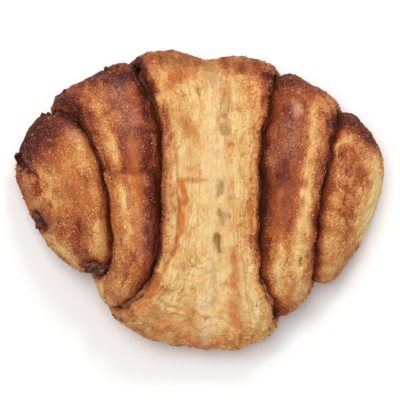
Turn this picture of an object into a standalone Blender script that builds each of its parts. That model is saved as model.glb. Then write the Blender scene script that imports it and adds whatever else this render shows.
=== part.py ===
"""Pressed cinnamon bun, seen from above as a fan of folded lobes.

A sheet of laminated dough is spread with cinnamon filling, rolled up along X, cut to length and pressed
along the middle with a stick. The press thins the middle and drives the inner turns out to both sides,
so each turn ends in a lip, and the next turn rises out from under it as a rounded lobe.

+X is along the roll, +Y is the back, +Z is up. The origin is on the tray, under the middle of the bun.
The dough is one solid: a rolled sheet of two turns, joined to the core that its inner end makes.
The filling is a thin spiral layer between the turns. Lengths are in metres.
"""

import math

import bmesh
import bpy
import numpy as np

MM = 0.001

# The whole bun
REACH = 60.3 * MM  # from the middle to each end of the roll
DEPTH, DEPTH_BACK = 49.4 * MM, 49.8 * MM  # from the middle to the front, and to the back without its dip
TIP_Y = 9.0 * MM  # both ends lie this far behind the middle
BACK_LEFT, BACK_RIGHT = (2.0, 0.5), (1.6, 0.5)  # the two powers of each quarter of the outline
FRONT_LEFT, FRONT_RIGHT = (1.7, 0.74), (1.9, 0.68)
PINCH_LEFT_X, PINCH_RIGHT_X = 39.0 * MM, 35.0 * MM  # the front is drawn in where the lobes meet
PINCH_LEFT, PINCH_RIGHT = 0.085, 0.075  # as shares of the depth
PINCH_WIDTH = 8.0 * MM
DIP_BACK, DIP_BACK_X = 0.07, 2.5 * MM  # the press draws in the back, as a share of the depth
DIP_FRONT = 0.025  # and the front a little, beside which it swells
SWELL_FRONT, SWELL_FRONT_X = 0.022, 12.5 * MM
DIP_WIDTH = 8.0 * MM
WIDEST_Z = 10.0 * MM  # height at which the bun is widest
CROWN = 23.5 * MM  # how far the unpressed top stands above that height
CROWN_CURVE, BASE_CURVE = (2.6, 0.6), (6.0, 0.5)  # how it falls to the ends, above and below
BOTTOM_SWELL = 1.05  # the underside is swollen past the tray by this much, and pressed flat on it
SUPER_TOP, SUPER_BOTTOM = 2.3, 4.0  # roundness of the section's upper and lower half

# The mark of the stick
GROOVE_X = 3.6 * MM
GROOVE_DEPTH = 12.0 * MM
GROOVE_WIDTH = 15.0 * MM

# The roll. Turns are counted from the outer end of the sheet, which lies at the bottom.
# From there the sheet runs up the front, over the top and down the back.
TURNS = 2.0
SHEET_SHARE = 0.79  # of the room of one turn, which the dough fills. The rest is for the filling
TURN_DEPTH = 5.5 * MM  # room of one turn at the front and the back
NARROW_HALF = 4.0 * MM  # the turns are crowded where the bun is not much deeper than this
CORE_MIDDLE = 0.95  # half thickness of the core under the press, in turns
CORE_SIDES = 1.75  # and at the sides, where it has puffed up
CORE_PUFF_X = 32.0 * MM  # where the core has its full thickness
SEAM_END = 0.25  # thickness of the sheet's outer end, in turns
SEAM_BEFORE, SEAM_AFTER = 0.05, 0.12  # the turns over which the thickness changes at the seam
TAIL_DIP = 0.30  # how far the inner end of the sheet sinks into the core, in turns
TAIL_RUN = 0.07  # the turns over which it sinks
CORE_STEP_RUN = 0.035  # the turns over which the core's face steps out to meet it

# How far each turn reaches along X, at twelve equal steps round the roll:
# bottom, two on the lower front, front, two on the upper front, top, and the same down the back
OUTER_LEFT = np.array([36, 35, 33, 29.5, 23.0, 14.2, 12.0, 12.8, 18.5, 21.5, 28, 34]) * MM
OUTER_RIGHT = np.array([35, 32, 28, 25.0, 23.2, 19.4, 18.5, 20.3, 23.0, 25.0, 29, 33]) * MM
INNER_LEFT = np.array([46, 42, 38, 35.0, 32.4, 27.8, 29.6, 36.6, 46.0, 48.5, 49, 48]) * MM
INNER_RIGHT = np.array([45, 42, 39, 36.5, 36.4, 36.8, 39.0, 42.6, 44.0, 45.5, 46.5, 46.5]) * MM
HANDOVER_FROM, HANDOVER_RUN = 0.85, 0.30  # the turns over which the sheet widens from one to the other

# The rounded lips, and the shoulders that rise out from under them
LIP = 3.2 * MM
LIP_BEAD = 0.10  # how far a lip stands up, in turns
BEAD_INSET, BEAD_WIDTH = 1.3, 1.1  # where it stands up, in lips
SHOULDER = 7.5 * MM  # from a lip to the crest of the lobe beside it
SHOULDER_POWER = 2.2
INNER_SLOPE = 14.0 * MM  # the same rise on the hidden layers below

# The filling
FILLING_FROM, FILLING_TO = 0.16, 1.90  # in turns round the roll
FILLING_GAP = 0.07  # on each side of it, as a share of one turn's room
FILLING_SHOWS = 0.6 * MM  # past the lip, on top
FILLING_RISES = 0.035  # how far it stands off the next lobe there, in turns
FILLING_HIDES = 3.0 * MM  # short of the lip, underneath

# The small crease at the left end, where the tip of the core folds
FOLD_FROM_X, FOLD_TO_X = -60.0 * MM, -50.5 * MM
FOLD_FROM_Y, FOLD_TO_Y = 14.0 * MM, -10.0 * MM
FOLD_DEPTH = 3.4 * MM
FOLD_WIDTH = 2.4 * MM
FOLD_BOW = 2.2 * MM  # how far its line bends towards the middle
FOLD_RUN = 4.0 * MM  # over which it fades in and out

# Uneven baking
WOBBLE, WOBBLE_SEED = 0.7 * MM, 3  # of the lips
WOBBLE_TURN = 200 * MM  # length along which the wobble runs in one turn
LUMPS, LUMPS_SEED = 0.5 * MM, 11  # of the surface
WAVE_PITCHES = np.array([26, 17, 11, 8]) * MM

# How finely the shapes are drawn
STEPS_PER_TURN = 36  # round the roll. All layers share these steps, so that they never cross
COVERED_STEPS = 12  # along X, where one layer lies under another
SHEET_OPEN, LIP_STEPS = 7, 4  # along X, on one side
CORE_OPEN = 10
OPEN_POWER, CORE_POWER = 1.25, 1.15  # how the steps crowd towards the lip they start at
OPEN_FROM = 0.6  # where they start on the outer turn, which has no lip over it
OPEN_LEAST = 1.2 * MM


def smooth(value):
    """0 below 0, 1 above 1, and a smooth step between."""
    value = np.clip(value, 0.0, 1.0)
    return value * value * (3 - 2 * value)


def bump(offset, width):
    """1 at no offset, and falling off smoothly over the width on both sides."""
    return np.exp(-((offset / width) ** 2))


def round_the_roll(stations, turn):
    """A smooth periodic curve through equal stations, read at a number of turns."""
    along = np.mod(turn, 1.0) * len(stations)
    first = np.floor(along).astype(int)
    t = along - first
    p0, p1, p2, p3 = (stations[(first + k) % len(stations)] for k in (-1, 0, 1, 2))
    cubic = 3 * (p1 - p2) + p3 - p0
    square = 2 * p0 - 5 * p1 + 4 * p2 - p3
    return p1 + 0.5 * t * (p2 - p0 + t * (square + t * cubic))


def waves(a, b, seed):
    """A smooth uneven pattern from about -1 to 1, over two lengths."""
    draw = np.random.default_rng(seed)
    total = 0.0
    for pitch in WAVE_PITCHES:
        stretch = draw.uniform(0.6, 1.4)
        start_a, start_b = draw.uniform(0, 2 * math.pi, 2)
        wave_a = np.sin(2 * math.pi * a / pitch + start_a)
        wave_b = np.cos(2 * math.pi * b * stretch / pitch + start_b)
        total = total + wave_a * wave_b
    return total / 2.5


def reach_of_sheet(turn, side):
    """How far the sheet reaches along X at this many turns. Side is -1 for left and 1 for right."""
    outer, inner = (OUTER_LEFT, INNER_LEFT) if side < 0 else (OUTER_RIGHT, INNER_RIGHT)
    share = smooth((turn - HANDOVER_FROM) / HANDOVER_RUN)
    reach = round_the_roll(outer, turn) * (1 - share) + round_the_roll(inner, turn) * share
    return reach + WOBBLE * waves(turn * WOBBLE_TURN, 0.0, WOBBLE_SEED + side)


def lip_of(turn, x):
    """The reach of the sheet on the side that x is on."""
    return np.where(x < 0, reach_of_sheet(turn, -1), reach_of_sheet(turn, 1))


def thickness_at(turn):
    """The sheet's thickness near its outer end, as a share of a turn."""
    rising = SEAM_END + (1 - SEAM_END) * smooth(turn / SEAM_AFTER)
    return np.where(turn < 0, SEAM_END * smooth(1 + turn / SEAM_BEFORE), rising)


def covered_sharply(turn, x):
    """1 under the sheet at this turn, falling to 0 over the shoulder beside its lip."""
    beyond = np.clip((np.abs(x) - lip_of(np.maximum(turn, 0), x)) / SHOULDER, 0, 1)
    return thickness_at(turn) * (1 - beyond) ** SHOULDER_POWER


def covered_gently(turn, x):
    """The same for the hidden layers, whose rise is longer."""
    beyond = (np.abs(x) - lip_of(np.maximum(turn, 0), x)) / INNER_SLOPE
    return thickness_at(turn) * (1 - smooth(beyond))


def turns_to_middle(turn, x):
    """How many turns' room there is between the outside and the middle of the roll."""
    outer = np.where(x < 0, round_the_roll(OUTER_LEFT, turn), round_the_roll(OUTER_RIGHT, turn))
    inner = np.where(x < 0, round_the_roll(INNER_LEFT, turn), round_the_roll(INNER_RIGHT, turn))
    core = CORE_MIDDLE + (CORE_SIDES - CORE_MIDDLE) * smooth(np.abs(x) / CORE_PUFF_X)
    under_outer = 1 - smooth((np.abs(x) - outer) / INNER_SLOPE)
    under_inner = 1 - smooth((np.abs(x) - inner) / INNER_SLOPE)
    return core + under_outer + under_inner


def sheet_outside(turn, x):
    """Level of the sheet's outer face: the turns of dough that lie over it. 0 is the bun's outside."""
    level = covered_sharply(turn - 1, x)
    tail = smooth((turn - (TURNS - TAIL_RUN)) / TAIL_RUN)
    bead = bump(np.abs(x) - (lip_of(turn, x) - BEAD_INSET * LIP), BEAD_WIDTH * LIP)
    return level + TAIL_DIP * tail - LIP_BEAD * bead * (1 - level) * (1 - tail)


def sheet_inside(turn, x):
    """Level of the sheet's inner face."""
    return covered_gently(turn - 1, x) + SHEET_SHARE * thickness_at(turn)


def core_outside(turn, x):
    """Level of the core's face, with the step where the sheet's inner end runs into it."""
    turn = np.mod(turn, 1.0)
    before = covered_gently(turn, x) + covered_sharply(turn + 1, x)
    after = covered_gently(turn - 1, x) + covered_sharply(turn, x)
    share = smooth((turn - (1 - CORE_STEP_RUN)) / CORE_STEP_RUN)
    return before * (1 - share) + after * share


def falling(share, powers):
    """1 at the middle of the bun and 0 at its end, with a curve set by two powers."""
    return (1 - share ** powers[0]) ** powers[1]


def outline(x):
    """The y of the back and of the front of the bun at x."""
    share = np.clip(np.abs(x) / REACH, 0, 1)
    back = np.where(x < 0, falling(share, BACK_LEFT), falling(share, BACK_RIGHT))
    front = np.where(x < 0, falling(share, FRONT_LEFT), falling(share, FRONT_RIGHT))
    back = back - DIP_BACK * bump(x - DIP_BACK_X, DIP_WIDTH)
    front = front - PINCH_LEFT * bump(x + PINCH_LEFT_X, PINCH_WIDTH)
    front = front - PINCH_RIGHT * bump(x - PINCH_RIGHT_X, PINCH_WIDTH)
    front = front - DIP_FRONT * bump(x, DIP_WIDTH) + SWELL_FRONT * bump(x - SWELL_FRONT_X, DIP_WIDTH)
    tip = TIP_Y * share**2
    return tip + (DEPTH_BACK - tip) * back, tip - (DEPTH + tip) * np.maximum(front, 0)


def half_heights(x):
    """How far the bun reaches above and below its widest line at x."""
    share = np.clip(np.abs(x) / REACH, 0, 1)
    groove = GROOVE_DEPTH * bump(x - GROOVE_X, GROOVE_WIDTH)
    above = CROWN * falling(share, CROWN_CURVE) - groove
    below = BOTTOM_SWELL * WIDEST_Z * falling(share, BASE_CURVE)
    return above, below


def fold_at_left_end(x, y):
    """How far the small crease sinks into the left end of the core."""
    along = np.array([FOLD_TO_X - FOLD_FROM_X, FOLD_TO_Y - FOLD_FROM_Y])
    length = np.linalg.norm(along)
    along /= length
    from_start = np.stack([x - FOLD_FROM_X, y - FOLD_FROM_Y], axis=-1)
    run = from_start @ along
    off = from_start @ np.array([-along[1], along[0]])
    bow = FOLD_BOW * np.sin(math.pi * np.clip(run / length, 0, 1))
    inside = smooth(run / FOLD_RUN + 1) * smooth((length - run) / FOLD_RUN + 1)
    return FOLD_DEPTH * inside * bump(off + bow, FOLD_WIDTH)


def angle_of(turn):
    return math.radians(270) - 2 * math.pi * turn


def place(turn, x, level):
    """The point of the bun at this turn, this x and this many turns deep. It keeps layers from crossing."""
    cosine, sine = np.cos(angle_of(turn)), np.sin(angle_of(turn))
    power = 2 / np.where(sine > 0, SUPER_TOP, SUPER_BOTTOM)
    across = np.sign(cosine) * np.abs(cosine) ** power
    up = np.sign(sine) * np.abs(sine) ** power
    back, front = outline(x)
    above, below = half_heights(x)
    half = (back - front) / 2
    room = TURN_DEPTH * half / (half + NARROW_HALF)
    y = (back + front) / 2 + (half - room * level) * across
    share = 1 - level / turns_to_middle(turn, x)
    z = WIDEST_Z + np.where(sine > 0, above, below) * share * up
    return np.stack([x + 0 * y, y, np.maximum(z, 0)], axis=-1)


def lumps(turn, x, level):
    """How far uneven baking moves the open surface, in turns. Layers under others stay smooth."""
    open_share = np.clip(1 - 2 * np.abs(level), 0, 1)
    underneath = np.clip(-np.sin(angle_of(turn)), 0, 1)
    height = LUMPS * waves(x, np.mod(turn, 1.0) * WOBBLE_TURN, LUMPS_SEED)
    return -height / TURN_DEPTH * open_share * (1 - underneath)


def stations_between(left, right):
    """Places along X from one lip to the other, with one just inside each lip."""
    between = np.linspace(left + LIP, right - LIP, COVERED_STEPS - 1)
    return np.concatenate([[left], between, [right]])


def covered_stations(turn):
    """The places along X where the faces under the sheet are drawn at this turn."""
    return stations_between(-reach_of_sheet(turn, -1), reach_of_sheet(turn, 1))


def open_stations(turn):
    """The places along X where the sheet's outer face is drawn: closest beside the lip that covers it."""
    covering = smooth((turn - 0.9) / 0.2)
    halves = {}
    for side in (-1, 1):
        lip = reach_of_sheet(turn, side) - LIP
        covered = reach_of_sheet(max(turn - 1, 0.0), side)
        edge = min((1 - covering) * OPEN_FROM * lip + covering * covered, lip - OPEN_LEAST)
        shares = (np.arange(SHEET_OPEN + 1) / SHEET_OPEN) ** OPEN_POWER
        halves[side] = edge + (lip - edge) * shares
    middle = stations_between(-halves[-1][0], halves[1][0])
    return np.concatenate([-halves[-1][:0:-1], middle, halves[1][1:]])


def ring_of_sheet(turn):
    """One closed ring round the sheet's section: outer face, right lip, inner face, left lip."""
    xs = open_stations(turn)
    outer = sheet_outside(turn, xs)
    outer = outer + lumps(turn, xs, outer)
    hidden = covered_stations(turn)[-2:0:-1]
    inner = sheet_inside(turn, hidden)
    around = np.linspace(0, math.pi, LIP_STEPS + 2)[1:-1]
    lips = {}
    for side, outer_end, inner_end in ((1, -1, 0), (-1, 0, -1)):
        middle = (outer[outer_end] + inner[inner_end]) / 2
        half = (inner[inner_end] - outer[outer_end]) / 2
        x = xs[outer_end] + side * LIP * np.sin(around)
        lips[side] = place(turn, x, middle - half * np.cos(around))
    return np.concatenate([place(turn, xs, outer), lips[1], place(turn, hidden, inner), lips[-1][::-1]])


def face_below(turn, x):
    """Level of the dough face that lies next under the sheet at this turn."""
    return sheet_outside(turn + 1, x) if turn < TURNS - 1 else core_outside(turn - 1, x)


def ring_of_filling(turn):
    """One closed ring round the filling's section: it lies on the next turn in, under the sheet."""
    stations = covered_stations(turn)
    up = math.sin(angle_of(turn))
    past = FILLING_SHOWS if up > 0 else FILLING_SHOWS + (FILLING_SHOWS + FILLING_HIDES) * up
    ends = np.array([stations[0] - past, stations[-1] + past])
    beside = stations[[0, -1]] if past > 0 else (ends + stations[[1, -2]]) / 2
    xs = np.concatenate([ends[:1], beside[:1], stations[1:-1], beside[1:], ends[1:]])
    floor = np.interp(xs, stations, face_below(turn, stations))
    if past > 0:
        floor[[0, -1]] = face_below(turn, ends) - FILLING_RISES
    lower = floor - FILLING_GAP
    upper = floor - (1 - SHEET_SHARE - FILLING_GAP)
    return np.concatenate([place(turn, xs, upper), place(turn, xs[::-1], lower[::-1])])


def add_panel(mesh, a, b, c, d):
    """Two triangles over four corners. The diagonal leans the same way on every layer."""
    if b.co.x >= a.co.x:
        corners = (a, b, c), (a, c, d)
    else:
        corners = (a, b, d), (b, c, d)
    for three in corners:
        mesh.faces.new(three)


def close_end(mesh, ring):
    """Closes a thin flat ring with triangles between its two long sides, which both run along X."""
    xs = [vertex.co.x for vertex in ring]
    ring = ring[xs.index(min(xs)):] + ring[:xs.index(min(xs))]
    far = max(range(len(ring)), key=lambda i: ring[i].co.x)
    one, other = ring[:far + 1], ring[:far:-1]
    i = j = 0
    while i < len(one) - 1 or j < len(other) - 1:
        used_up = j == len(other) - 1
        if used_up or (i < len(one) - 1 and one[i + 1].co.x <= other[j + 1].co.x):
            mesh.faces.new((one[i], one[i + 1], other[j]))
            i += 1
        else:
            mesh.faces.new((one[i], other[j + 1], other[j]))
            j += 1


def object_of(name, mesh):
    """An object in the scene with this mesh, shaded smooth."""
    bmesh.ops.recalc_face_normals(mesh, faces=mesh.faces)
    data = bpy.data.meshes.new(name)
    mesh.to_mesh(data)
    mesh.free()
    data.shade_smooth()
    made = bpy.data.objects.new(name, data)
    bpy.context.scene.collection.objects.link(made)
    return made


def solid_from_rings(name, rings):
    """A closed solid skinned over rings of equal length."""
    mesh = bmesh.new()
    rows = [[mesh.verts.new(point) for point in ring] for ring in rings]
    count = len(rows[0])
    for first, second in zip(rows, rows[1:]):
        for i in range(count):
            j = (i + 1) % count
            add_panel(mesh, first[i], first[j], second[j], second[i])
    close_end(mesh, rows[0])
    close_end(mesh, rows[-1])
    return object_of(name, mesh)


def rolled_sheet(name):
    """The sheet from its outer end at the bottom seam to its inner end inside the core."""
    steps = round(TURNS * STEPS_PER_TURN)
    return solid_from_rings(name, [ring_of_sheet(turn) for turn in np.linspace(0, TURNS, steps + 1)])


def filling_layer(name):
    """The filling between the turns, short of the seam and of the sheet's inner end."""
    first, last = round(FILLING_FROM * STEPS_PER_TURN), round(FILLING_TO * STEPS_PER_TURN)
    return solid_from_rings(name, [ring_of_filling(k / STEPS_PER_TURN) for k in range(first, last + 1)])


def core_stations(turn):
    """The places along X where the core is drawn: closest beside the lip over it, and at its ends."""
    halves = {}
    for side in (-1, 1):
        edge = reach_of_sheet(turn + 1, side)
        shares = np.sin(np.linspace(0, math.pi / 2, CORE_OPEN + 1)) ** CORE_POWER
        halves[side] = edge + (REACH - edge) * shares[:-1]
    return np.concatenate([-halves[-1][:0:-1], covered_stations(turn + 1), halves[1][1:]])


def core_of_dough(name):
    """The core: lines from left to right at each step round the roll, closed by a point at each end."""
    mesh = bmesh.new()
    lines = []
    for step in range(STEPS_PER_TURN):
        turn = step / STEPS_PER_TURN
        xs = core_stations(turn)
        level = core_outside(turn, xs)
        points = place(turn, xs, level + lumps(turn, xs, level))
        above = points[:, 2] - WIDEST_Z
        points[:, 2] -= fold_at_left_end(points[:, 0], points[:, 1]) * smooth(above / FOLD_RUN)
        lines.append([mesh.verts.new(point) for point in points])
    left_tip = mesh.verts.new((-REACH, TIP_Y, WIDEST_Z))
    right_tip = mesh.verts.new((REACH, TIP_Y, WIDEST_Z))
    for first, second in zip(lines, lines[1:] + lines[:1]):
        for i in range(len(first) - 1):
            add_panel(mesh, first[i], first[i + 1], second[i + 1], second[i])
        mesh.faces.new((first[0], second[0], left_tip))
        mesh.faces.new((second[-1], first[-1], right_tip))
    return object_of(name, mesh)


def join(body, other):
    """Fuses two solids into the first one."""
    union = body.modifiers.new("join", "BOOLEAN")
    union.operation = "UNION"
    union.solver = "EXACT"
    union.object = other
    graph = bpy.context.evaluated_depsgraph_get()
    fused = bpy.data.meshes.new_from_object(body.evaluated_get(graph))
    body.modifiers.clear()
    body.data = fused
    bpy.data.objects.remove(other)


def finish(obj, name, colour, roughness):
    """Gives an object its material."""
    material = bpy.data.materials.new(name)
    material.use_nodes = True
    shader = material.node_tree.nodes["Principled BSDF"]
    shader.inputs["Base Color"].default_value = (*colour, 1.0)
    shader.inputs["Roughness"].default_value = roughness
    shader.inputs["Metallic"].default_value = 0.0
    obj.data.materials.clear()
    obj.data.materials.append(material)


def main():
    for obj in list(bpy.data.objects):
        bpy.data.objects.remove(obj)
    dough = rolled_sheet("dough_roll")
    join(dough, core_of_dough("core"))
    finish(dough, "baked_dough", (0.60, 0.32, 0.12), 0.55)
    filling = filling_layer("cinnamon_filling")
    finish(filling, "cinnamon_sugar", (0.11, 0.03, 0.012), 0.35)


main()
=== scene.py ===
# %% [markdown]
# # A pressed cinnamon bun, baked in code
#
# The real bun is a sheet of laminated dough, spread with cinnamon sugar, rolled up, cut and pressed along
# the middle with a stick. The plain solids of that roll are already packed as a fixed frame. This lesson
# dresses them: it draws the same roll again with many more points, so that crust, blisters, cut layers and
# creases are real relief, and then bakes it brown with node materials.

import math

import bpy
import numpy as np
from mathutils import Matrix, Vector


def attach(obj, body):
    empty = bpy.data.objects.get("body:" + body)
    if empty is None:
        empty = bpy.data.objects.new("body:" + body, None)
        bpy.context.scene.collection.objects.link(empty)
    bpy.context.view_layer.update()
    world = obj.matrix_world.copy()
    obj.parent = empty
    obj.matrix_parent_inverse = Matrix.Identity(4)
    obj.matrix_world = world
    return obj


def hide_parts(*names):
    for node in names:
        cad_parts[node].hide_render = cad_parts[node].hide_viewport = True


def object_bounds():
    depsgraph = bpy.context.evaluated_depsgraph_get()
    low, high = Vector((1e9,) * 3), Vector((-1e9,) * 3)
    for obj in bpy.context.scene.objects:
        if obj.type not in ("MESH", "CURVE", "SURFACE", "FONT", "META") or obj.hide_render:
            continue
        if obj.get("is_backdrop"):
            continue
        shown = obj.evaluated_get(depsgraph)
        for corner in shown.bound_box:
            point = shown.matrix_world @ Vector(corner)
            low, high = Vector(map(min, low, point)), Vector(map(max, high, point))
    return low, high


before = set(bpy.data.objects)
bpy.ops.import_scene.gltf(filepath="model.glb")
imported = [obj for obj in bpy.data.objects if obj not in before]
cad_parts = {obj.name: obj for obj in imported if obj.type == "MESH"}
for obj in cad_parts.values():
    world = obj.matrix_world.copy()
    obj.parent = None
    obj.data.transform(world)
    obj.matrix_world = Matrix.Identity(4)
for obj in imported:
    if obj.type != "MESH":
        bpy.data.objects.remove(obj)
MM = 0.001
cad_low, cad_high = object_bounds()
print("packed bun: %.1f x %.1f x %.1f mm" % tuple((b - a) / MM for a, b in zip(cad_low, cad_high)))

# %% [markdown]
# ## Two small helpers
#
# Nothing in a baked thing starts or stops at once. A smooth step and a soft bump are enough to let every
# shape and every colour below fade in and out.

# %% Steps and bumps


def smooth(value):
    """0 below 0, 1 above 1, and a smooth step between."""
    value = np.clip(value, 0.0, 1.0)
    return value * value * (3 - 2 * value)


def bump(offset, width):
    """1 at no offset, and falling off smoothly over the width on both sides."""
    return np.exp(-((offset / width) ** 2))


print("half a width away a bump is still %.2f high" % bump(0.5, 1.0))

# %% [markdown]
# ## The roll, as numbers
#
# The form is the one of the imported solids, so its sizes are repeated here. A point of the bun has three
# coordinates: how many turns round the roll it is, counted from the sheet's outer end at the bottom, how far
# it is along X, and its level, the number of dough layers that lie over it. Level 0 is the outside.

# %% Sizes of the roll
REACH, DEPTH, DEPTH_BACK, TIP_Y = 60.3 * MM, 49.4 * MM, 49.8 * MM, 9.0 * MM
BACK_LEFT, BACK_RIGHT, FRONT_LEFT, FRONT_RIGHT = (2.0, 0.5), (1.6, 0.5), (1.7, 0.74), (1.9, 0.68)
PINCH_LEFT_X, PINCH_RIGHT_X, PINCH_WIDTH = 39.0 * MM, 35.0 * MM, 8.0 * MM
PINCH_LEFT, PINCH_RIGHT = 0.085, 0.075
DIP_BACK, DIP_BACK_X, DIP_FRONT, DIP_WIDTH = 0.07, 2.5 * MM, 0.025, 8.0 * MM
SWELL_FRONT, SWELL_FRONT_X = 0.022, 12.5 * MM
WIDEST_Z, CROWN, BOTTOM_SWELL = 10.0 * MM, 23.5 * MM, 1.05
CROWN_CURVE, BASE_CURVE = (2.6, 0.6), (6.0, 0.5)
SUPER_TOP, SUPER_BOTTOM = 2.3, 4.0
GROOVE_X, GROOVE_DEPTH, GROOVE_WIDTH = 3.6 * MM, 12.0 * MM, 15.0 * MM
TURNS, SHEET_SHARE, TURN_DEPTH, NARROW_HALF = 2.0, 0.79, 5.5 * MM, 4.0 * MM
CORE_MIDDLE, CORE_SIDES, CORE_PUFF_X = 0.95, 1.75, 32.0 * MM
SEAM_END, SEAM_BEFORE, SEAM_AFTER = 0.25, 0.05, 0.12
TAIL_DIP, TAIL_RUN, CORE_STEP_RUN = 0.30, 0.07, 0.035
OUTER_LEFT = np.array([36, 35, 33, 29.5, 23.0, 14.2, 12.0, 12.8, 18.5, 21.5, 28, 34]) * MM
OUTER_RIGHT = np.array([35, 32, 28, 25.0, 23.2, 19.4, 18.5, 20.3, 23.0, 25.0, 29, 33]) * MM
INNER_LEFT = np.array([46, 42, 38, 35.0, 32.4, 27.8, 29.6, 36.6, 46.0, 48.5, 49, 48]) * MM
INNER_RIGHT = np.array([45, 42, 39, 36.5, 36.4, 36.8, 39.0, 42.6, 44.0, 45.5, 46.5, 46.5]) * MM
HANDOVER_FROM, HANDOVER_RUN = 0.85, 0.30
LIP, LIP_BEAD, BEAD_INSET, BEAD_WIDTH = 3.2 * MM, 0.10, 1.3, 1.1
SHOULDER, SHOULDER_POWER, INNER_SLOPE = 7.5 * MM, 2.2, 14.0 * MM
FILLING_FROM, FILLING_TO, FILLING_GAP = 0.16, 1.90, 0.07
FOLD_FROM_X, FOLD_TO_X, FOLD_FROM_Y, FOLD_TO_Y = -60.0 * MM, -50.5 * MM, 14.0 * MM, -10.0 * MM
FOLD_DEPTH, FOLD_WIDTH, FOLD_BOW, FOLD_RUN = 3.4 * MM, 2.4 * MM, 2.2 * MM, 4.0 * MM
WOBBLE, WOBBLE_SEED, WOBBLE_TURN = 0.7 * MM, 3, 200 * MM
LUMPS, LUMPS_SEED = 0.5 * MM, 11
WAVE_PITCHES = np.array([26, 17, 11, 8]) * MM
print("the sheet makes", TURNS, "turns and each is", TURN_DEPTH / MM, "mm deep")

# %% How far the sheet reaches


def round_the_roll(stations, turn):
    """A smooth periodic curve through equal stations, read at a number of turns."""
    along = np.mod(turn, 1.0) * len(stations)
    first = np.floor(along).astype(int)
    t = along - first
    p0, p1, p2, p3 = (stations[(first + k) % len(stations)] for k in (-1, 0, 1, 2))
    cubic = 3 * (p1 - p2) + p3 - p0
    square = 2 * p0 - 5 * p1 + 4 * p2 - p3
    return p1 + 0.5 * t * (p2 - p0 + t * (square + t * cubic))


def waves(a, b, seed):
    """A smooth uneven pattern from about -1 to 1, over two lengths."""
    draw = np.random.default_rng(seed)
    total = 0.0
    for pitch in WAVE_PITCHES:
        stretch = draw.uniform(0.6, 1.4)
        start_a, start_b = draw.uniform(0, 2 * math.pi, 2)
        wave_a = np.sin(2 * math.pi * a / pitch + start_a)
        wave_b = np.cos(2 * math.pi * b * stretch / pitch + start_b)
        total = total + wave_a * wave_b
    return total / 2.5


def reach_of_sheet(turn, side):
    """How far the sheet reaches along X at this many turns. Side is -1 for left and 1 for right."""
    outer, inner = (OUTER_LEFT, INNER_LEFT) if side < 0 else (OUTER_RIGHT, INNER_RIGHT)
    share = smooth((turn - HANDOVER_FROM) / HANDOVER_RUN)
    reach = round_the_roll(outer, turn) * (1 - share) + round_the_roll(inner, turn) * share
    return reach + WOBBLE * waves(turn * WOBBLE_TURN, 0.0, WOBBLE_SEED + side)


def lip_of(turn, x):
    """The reach of the sheet on the side that x is on."""
    return np.where(x < 0, reach_of_sheet(turn, -1), reach_of_sheet(turn, 1))


across_top = reach_of_sheet(np.array([0.5]), -1) + reach_of_sheet(np.array([0.5]), 1)
print("the outer turn is %.1f mm wide on top" % (across_top[0] / MM))

# %% How deep each face lies


def thickness_at(turn):
    """The sheet's thickness near its outer end, as a share of a turn."""
    rising = SEAM_END + (1 - SEAM_END) * smooth(turn / SEAM_AFTER)
    return np.where(turn < 0, SEAM_END * smooth(1 + turn / SEAM_BEFORE), rising)


def covered_sharply(turn, x):
    """1 under the sheet at this turn, falling to 0 over the shoulder beside its lip."""
    beyond = np.clip((np.abs(x) - lip_of(np.maximum(turn, 0), x)) / SHOULDER, 0, 1)
    return thickness_at(turn) * (1 - beyond) ** SHOULDER_POWER


def covered_gently(turn, x):
    """The same for the hidden layers, whose rise is longer."""
    beyond = (np.abs(x) - lip_of(np.maximum(turn, 0), x)) / INNER_SLOPE
    return thickness_at(turn) * (1 - smooth(beyond))


def turns_to_middle(turn, x):
    """How many turns' room there is between the outside and the middle of the roll."""
    room = CORE_MIDDLE + (CORE_SIDES - CORE_MIDDLE) * smooth(np.abs(x) / CORE_PUFF_X)
    for left, right in ((OUTER_LEFT, OUTER_RIGHT), (INNER_LEFT, INNER_RIGHT)):
        lip = np.where(x < 0, round_the_roll(left, turn), round_the_roll(right, turn))
        room = room + 1 - smooth((np.abs(x) - lip) / INNER_SLOPE)
    return room


def sheet_outside(turn, x):
    """Level of the sheet's outer face."""
    level = covered_sharply(turn - 1, x)
    tail = smooth((turn - (TURNS - TAIL_RUN)) / TAIL_RUN)
    bead = bump(np.abs(x) - (lip_of(turn, x) - BEAD_INSET * LIP), BEAD_WIDTH * LIP)
    return level + TAIL_DIP * tail - LIP_BEAD * bead * (1 - level) * (1 - tail)


def sheet_inside(turn, x):
    """Level of the sheet's inner face."""
    return covered_gently(turn - 1, x) + SHEET_SHARE * thickness_at(turn)


def core_outside(turn, x):
    """Level of the core's face, with the step where the sheet's inner end runs into it."""
    turn = np.mod(turn, 1.0)
    before = covered_gently(turn, x) + covered_sharply(turn + 1, x)
    after = covered_gently(turn - 1, x) + covered_sharply(turn, x)
    share = smooth((turn - (1 - CORE_STEP_RUN)) / CORE_STEP_RUN)
    return before * (1 - share) + after * share


level_in_crease = core_outside(np.array([0.5]), np.array([38 * MM]))[0]
print("beside the second lip the core lies %.2f turns deep" % level_in_crease)

# %% Where a point of the roll is


def falling(share, powers):
    """1 at the middle of the bun and 0 at its end, with a curve set by two powers."""
    return (1 - share ** powers[0]) ** powers[1]


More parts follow.
